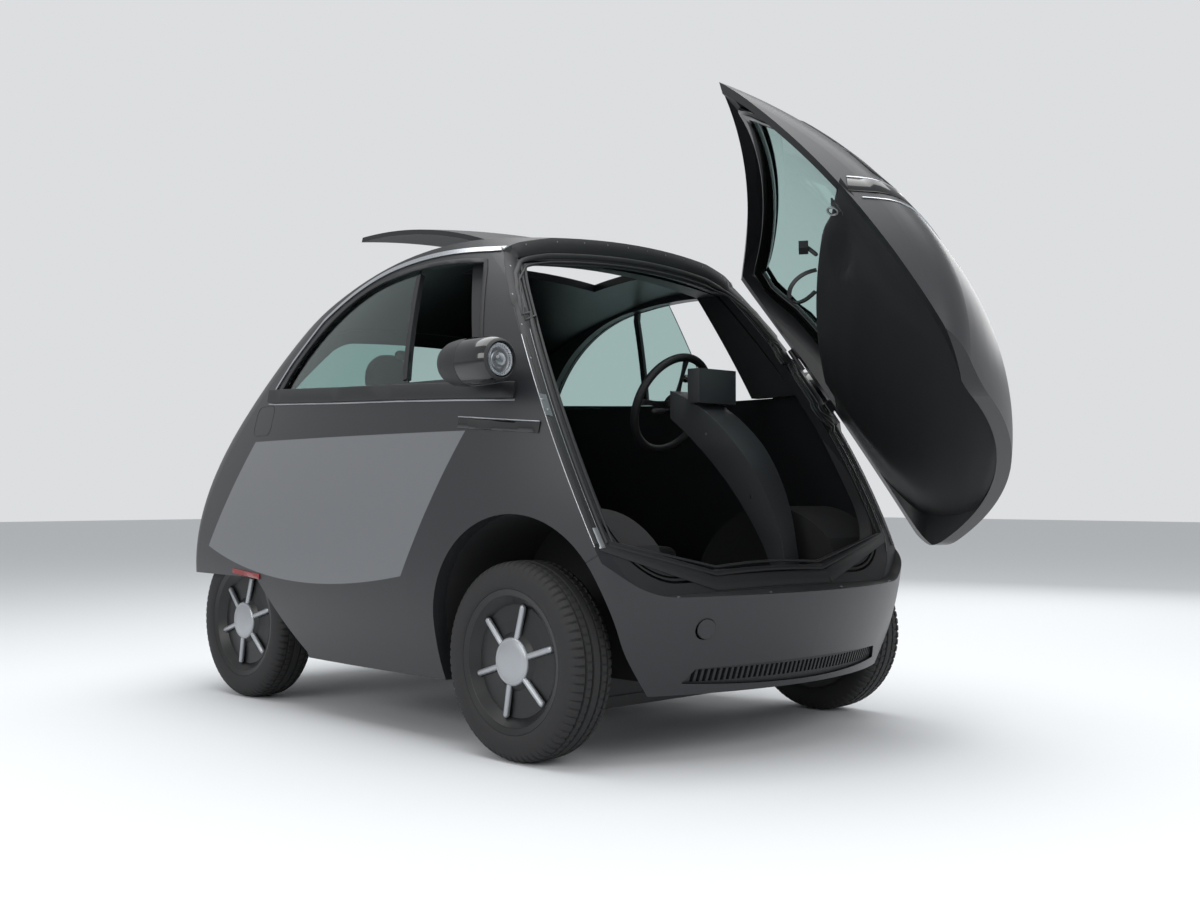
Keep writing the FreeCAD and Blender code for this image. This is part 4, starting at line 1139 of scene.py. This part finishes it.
# Stage
class MICROCAR_OT_stage(bpy.types.Operator):
    """Pale floor, soft lamps and a camera at the photograph's place"""
    bl_idname = "microcar.stage"
    bl_label = "Stage"

    def execute(self, context):
        sizes = context.scene.microcar_stage
        scene = context.scene
        scene.view_settings.view_transform = "Standard"
        floor = bpy.data.meshes.new("studio_floor")
        floor.from_pydata([(-30, -30, 0), (30, -30, 0), (30, 30, 0), (-30, 30, 0)], [], [(0, 1, 2, 3)])
        ob = linked("studio_floor", floor)
        f = Finish("studio_paper", sizes.backdrop, Roughness=0.9, Specular_IOR_Level=0.1)
        f.grain(40.0, 0.9, 0.02)
        floor.materials.append(f.material)
        world = bpy.data.worlds.new("studio_world")
        scene.world = world
        world.use_nodes = True
        nodes, links = world.node_tree.nodes, world.node_tree.links
        back = nodes["Background"]
        back.inputs["Color"].default_value = linear(sizes.backdrop)
        path = nodes.new("ShaderNodeLightPath")
        seen = nodes.new("ShaderNodeMath")
        seen.operation = "ADD"
        links.new(path.outputs["Is Camera Ray"], seen.inputs[0])
        links.new(path.outputs["Is Transmission Ray"], seen.inputs[1])
        level = nodes.new("ShaderNodeMapRange")
        level.inputs["To Min"].default_value = 0.80
        level.inputs["To Max"].default_value = 1.0
        links.new(seen.outputs[0], level.inputs["Value"])
        links.new(level.outputs["Result"], back.inputs["Strength"])
        lamps = [  # name, place, aim, size across, size up, share of the main power
            ("sky_softbox", (0.0, 0.0, 5.0), (0, 0, 0.8), 6.0, 6.0, 1.0),
            ("front_softbox", (5.5, -1.0, 3.0), (0.6, 0, 0.8), 3.0, 2.5, 0.30),
            ("right_softbox", (0.5, -6.0, 2.6), (0, 0, 0.7), 5.0, 2.0, 0.40),
            ("left_softbox", (-1.0, 6.0, 3.0), (0, 0, 0.8), 4.0, 2.0, 0.30),
        ]
        for name, place, aim, wide, tall, share in lamps:
            data = bpy.data.lights.new(name, "AREA")
            data.shape, data.size, data.size_y = "RECTANGLE", wide, tall
            data.energy = sizes.strength * share
            lamp = linked(name, data)
            lamp.location = place
            look = Vector(aim) - Vector(place)
            lamp.rotation_euler = look.to_track_quat("-Z", "Y").to_euler()
            lamp.visible_camera = lamp.visible_transmission = False
        camera = bpy.data.cameras.new("photo_camera")
        camera.sensor_width, camera.lens = 36.0, 42.04
        ob = linked("photo_camera", camera)
        ob.location = (3.603, -3.148, 0.716)
        yaw, pitch = math.radians(135.56), math.radians(1.706)
        ob.rotation_euler = (math.pi / 2 + pitch, 0, yaw - math.pi / 2)
        scene.camera = ob
        return {"FINISHED"}


class MICROCAR_PT_panel(bpy.types.Panel):
    """Builders of the microcar's looks"""
    bl_label = "Bubble microcar"
    bl_idname = "MICROCAR_PT_panel"
    bl_space_type = "VIEW_3D"
    bl_region_type = "UI"
    bl_category = "Microcar"

    def draw(self, context):
        for group in ("microcar_tyre", "microcar_trim", "microcar_lamp", "microcar_stage"):
            sizes = getattr(context.scene, group)
            for key in sizes.bl_rna.properties.keys():
                if key not in ("rna_type", "name"):
                    self.layout.prop(sizes, key)
        for operator in OPERATORS:
            self.layout.operator(operator.bl_idname)


OPERATORS = [MICROCAR_OT_wheels, MICROCAR_OT_lamps, MICROCAR_OT_opening, MICROCAR_OT_flanks, MICROCAR_OT_bumper,
             MICROCAR_OT_steering, MICROCAR_OT_seats, MICROCAR_OT_door, MICROCAR_OT_stage]
GROUPS = {"microcar_tyre": TyreSizes, "microcar_trim": TrimSizes, "microcar_lamp": LampSizes,
          "microcar_stage": StageSizes}


def register():
    for group in GROUPS.values():
        bpy.utils.register_class(group)
    for name, group in GROUPS.items():
        setattr(bpy.types.Scene, name, PointerProperty(type=group))
    for cls in OPERATORS + [MICROCAR_PT_panel]:
        bpy.utils.register_class(cls)


def unregister():
    for cls in [MICROCAR_PT_panel] + OPERATORS[::-1]:
        bpy.utils.unregister_class(cls)
    for name, group in GROUPS.items():
        delattr(bpy.types.Scene, name)
        bpy.utils.unregister_class(group)


def main():
    register()
    dress_nodes()
    for operator in OPERATORS:
        group, name = operator.bl_idname.split(".")
        getattr(getattr(bpy.ops, group), name)()


if __name__ == "__main__":
    main()
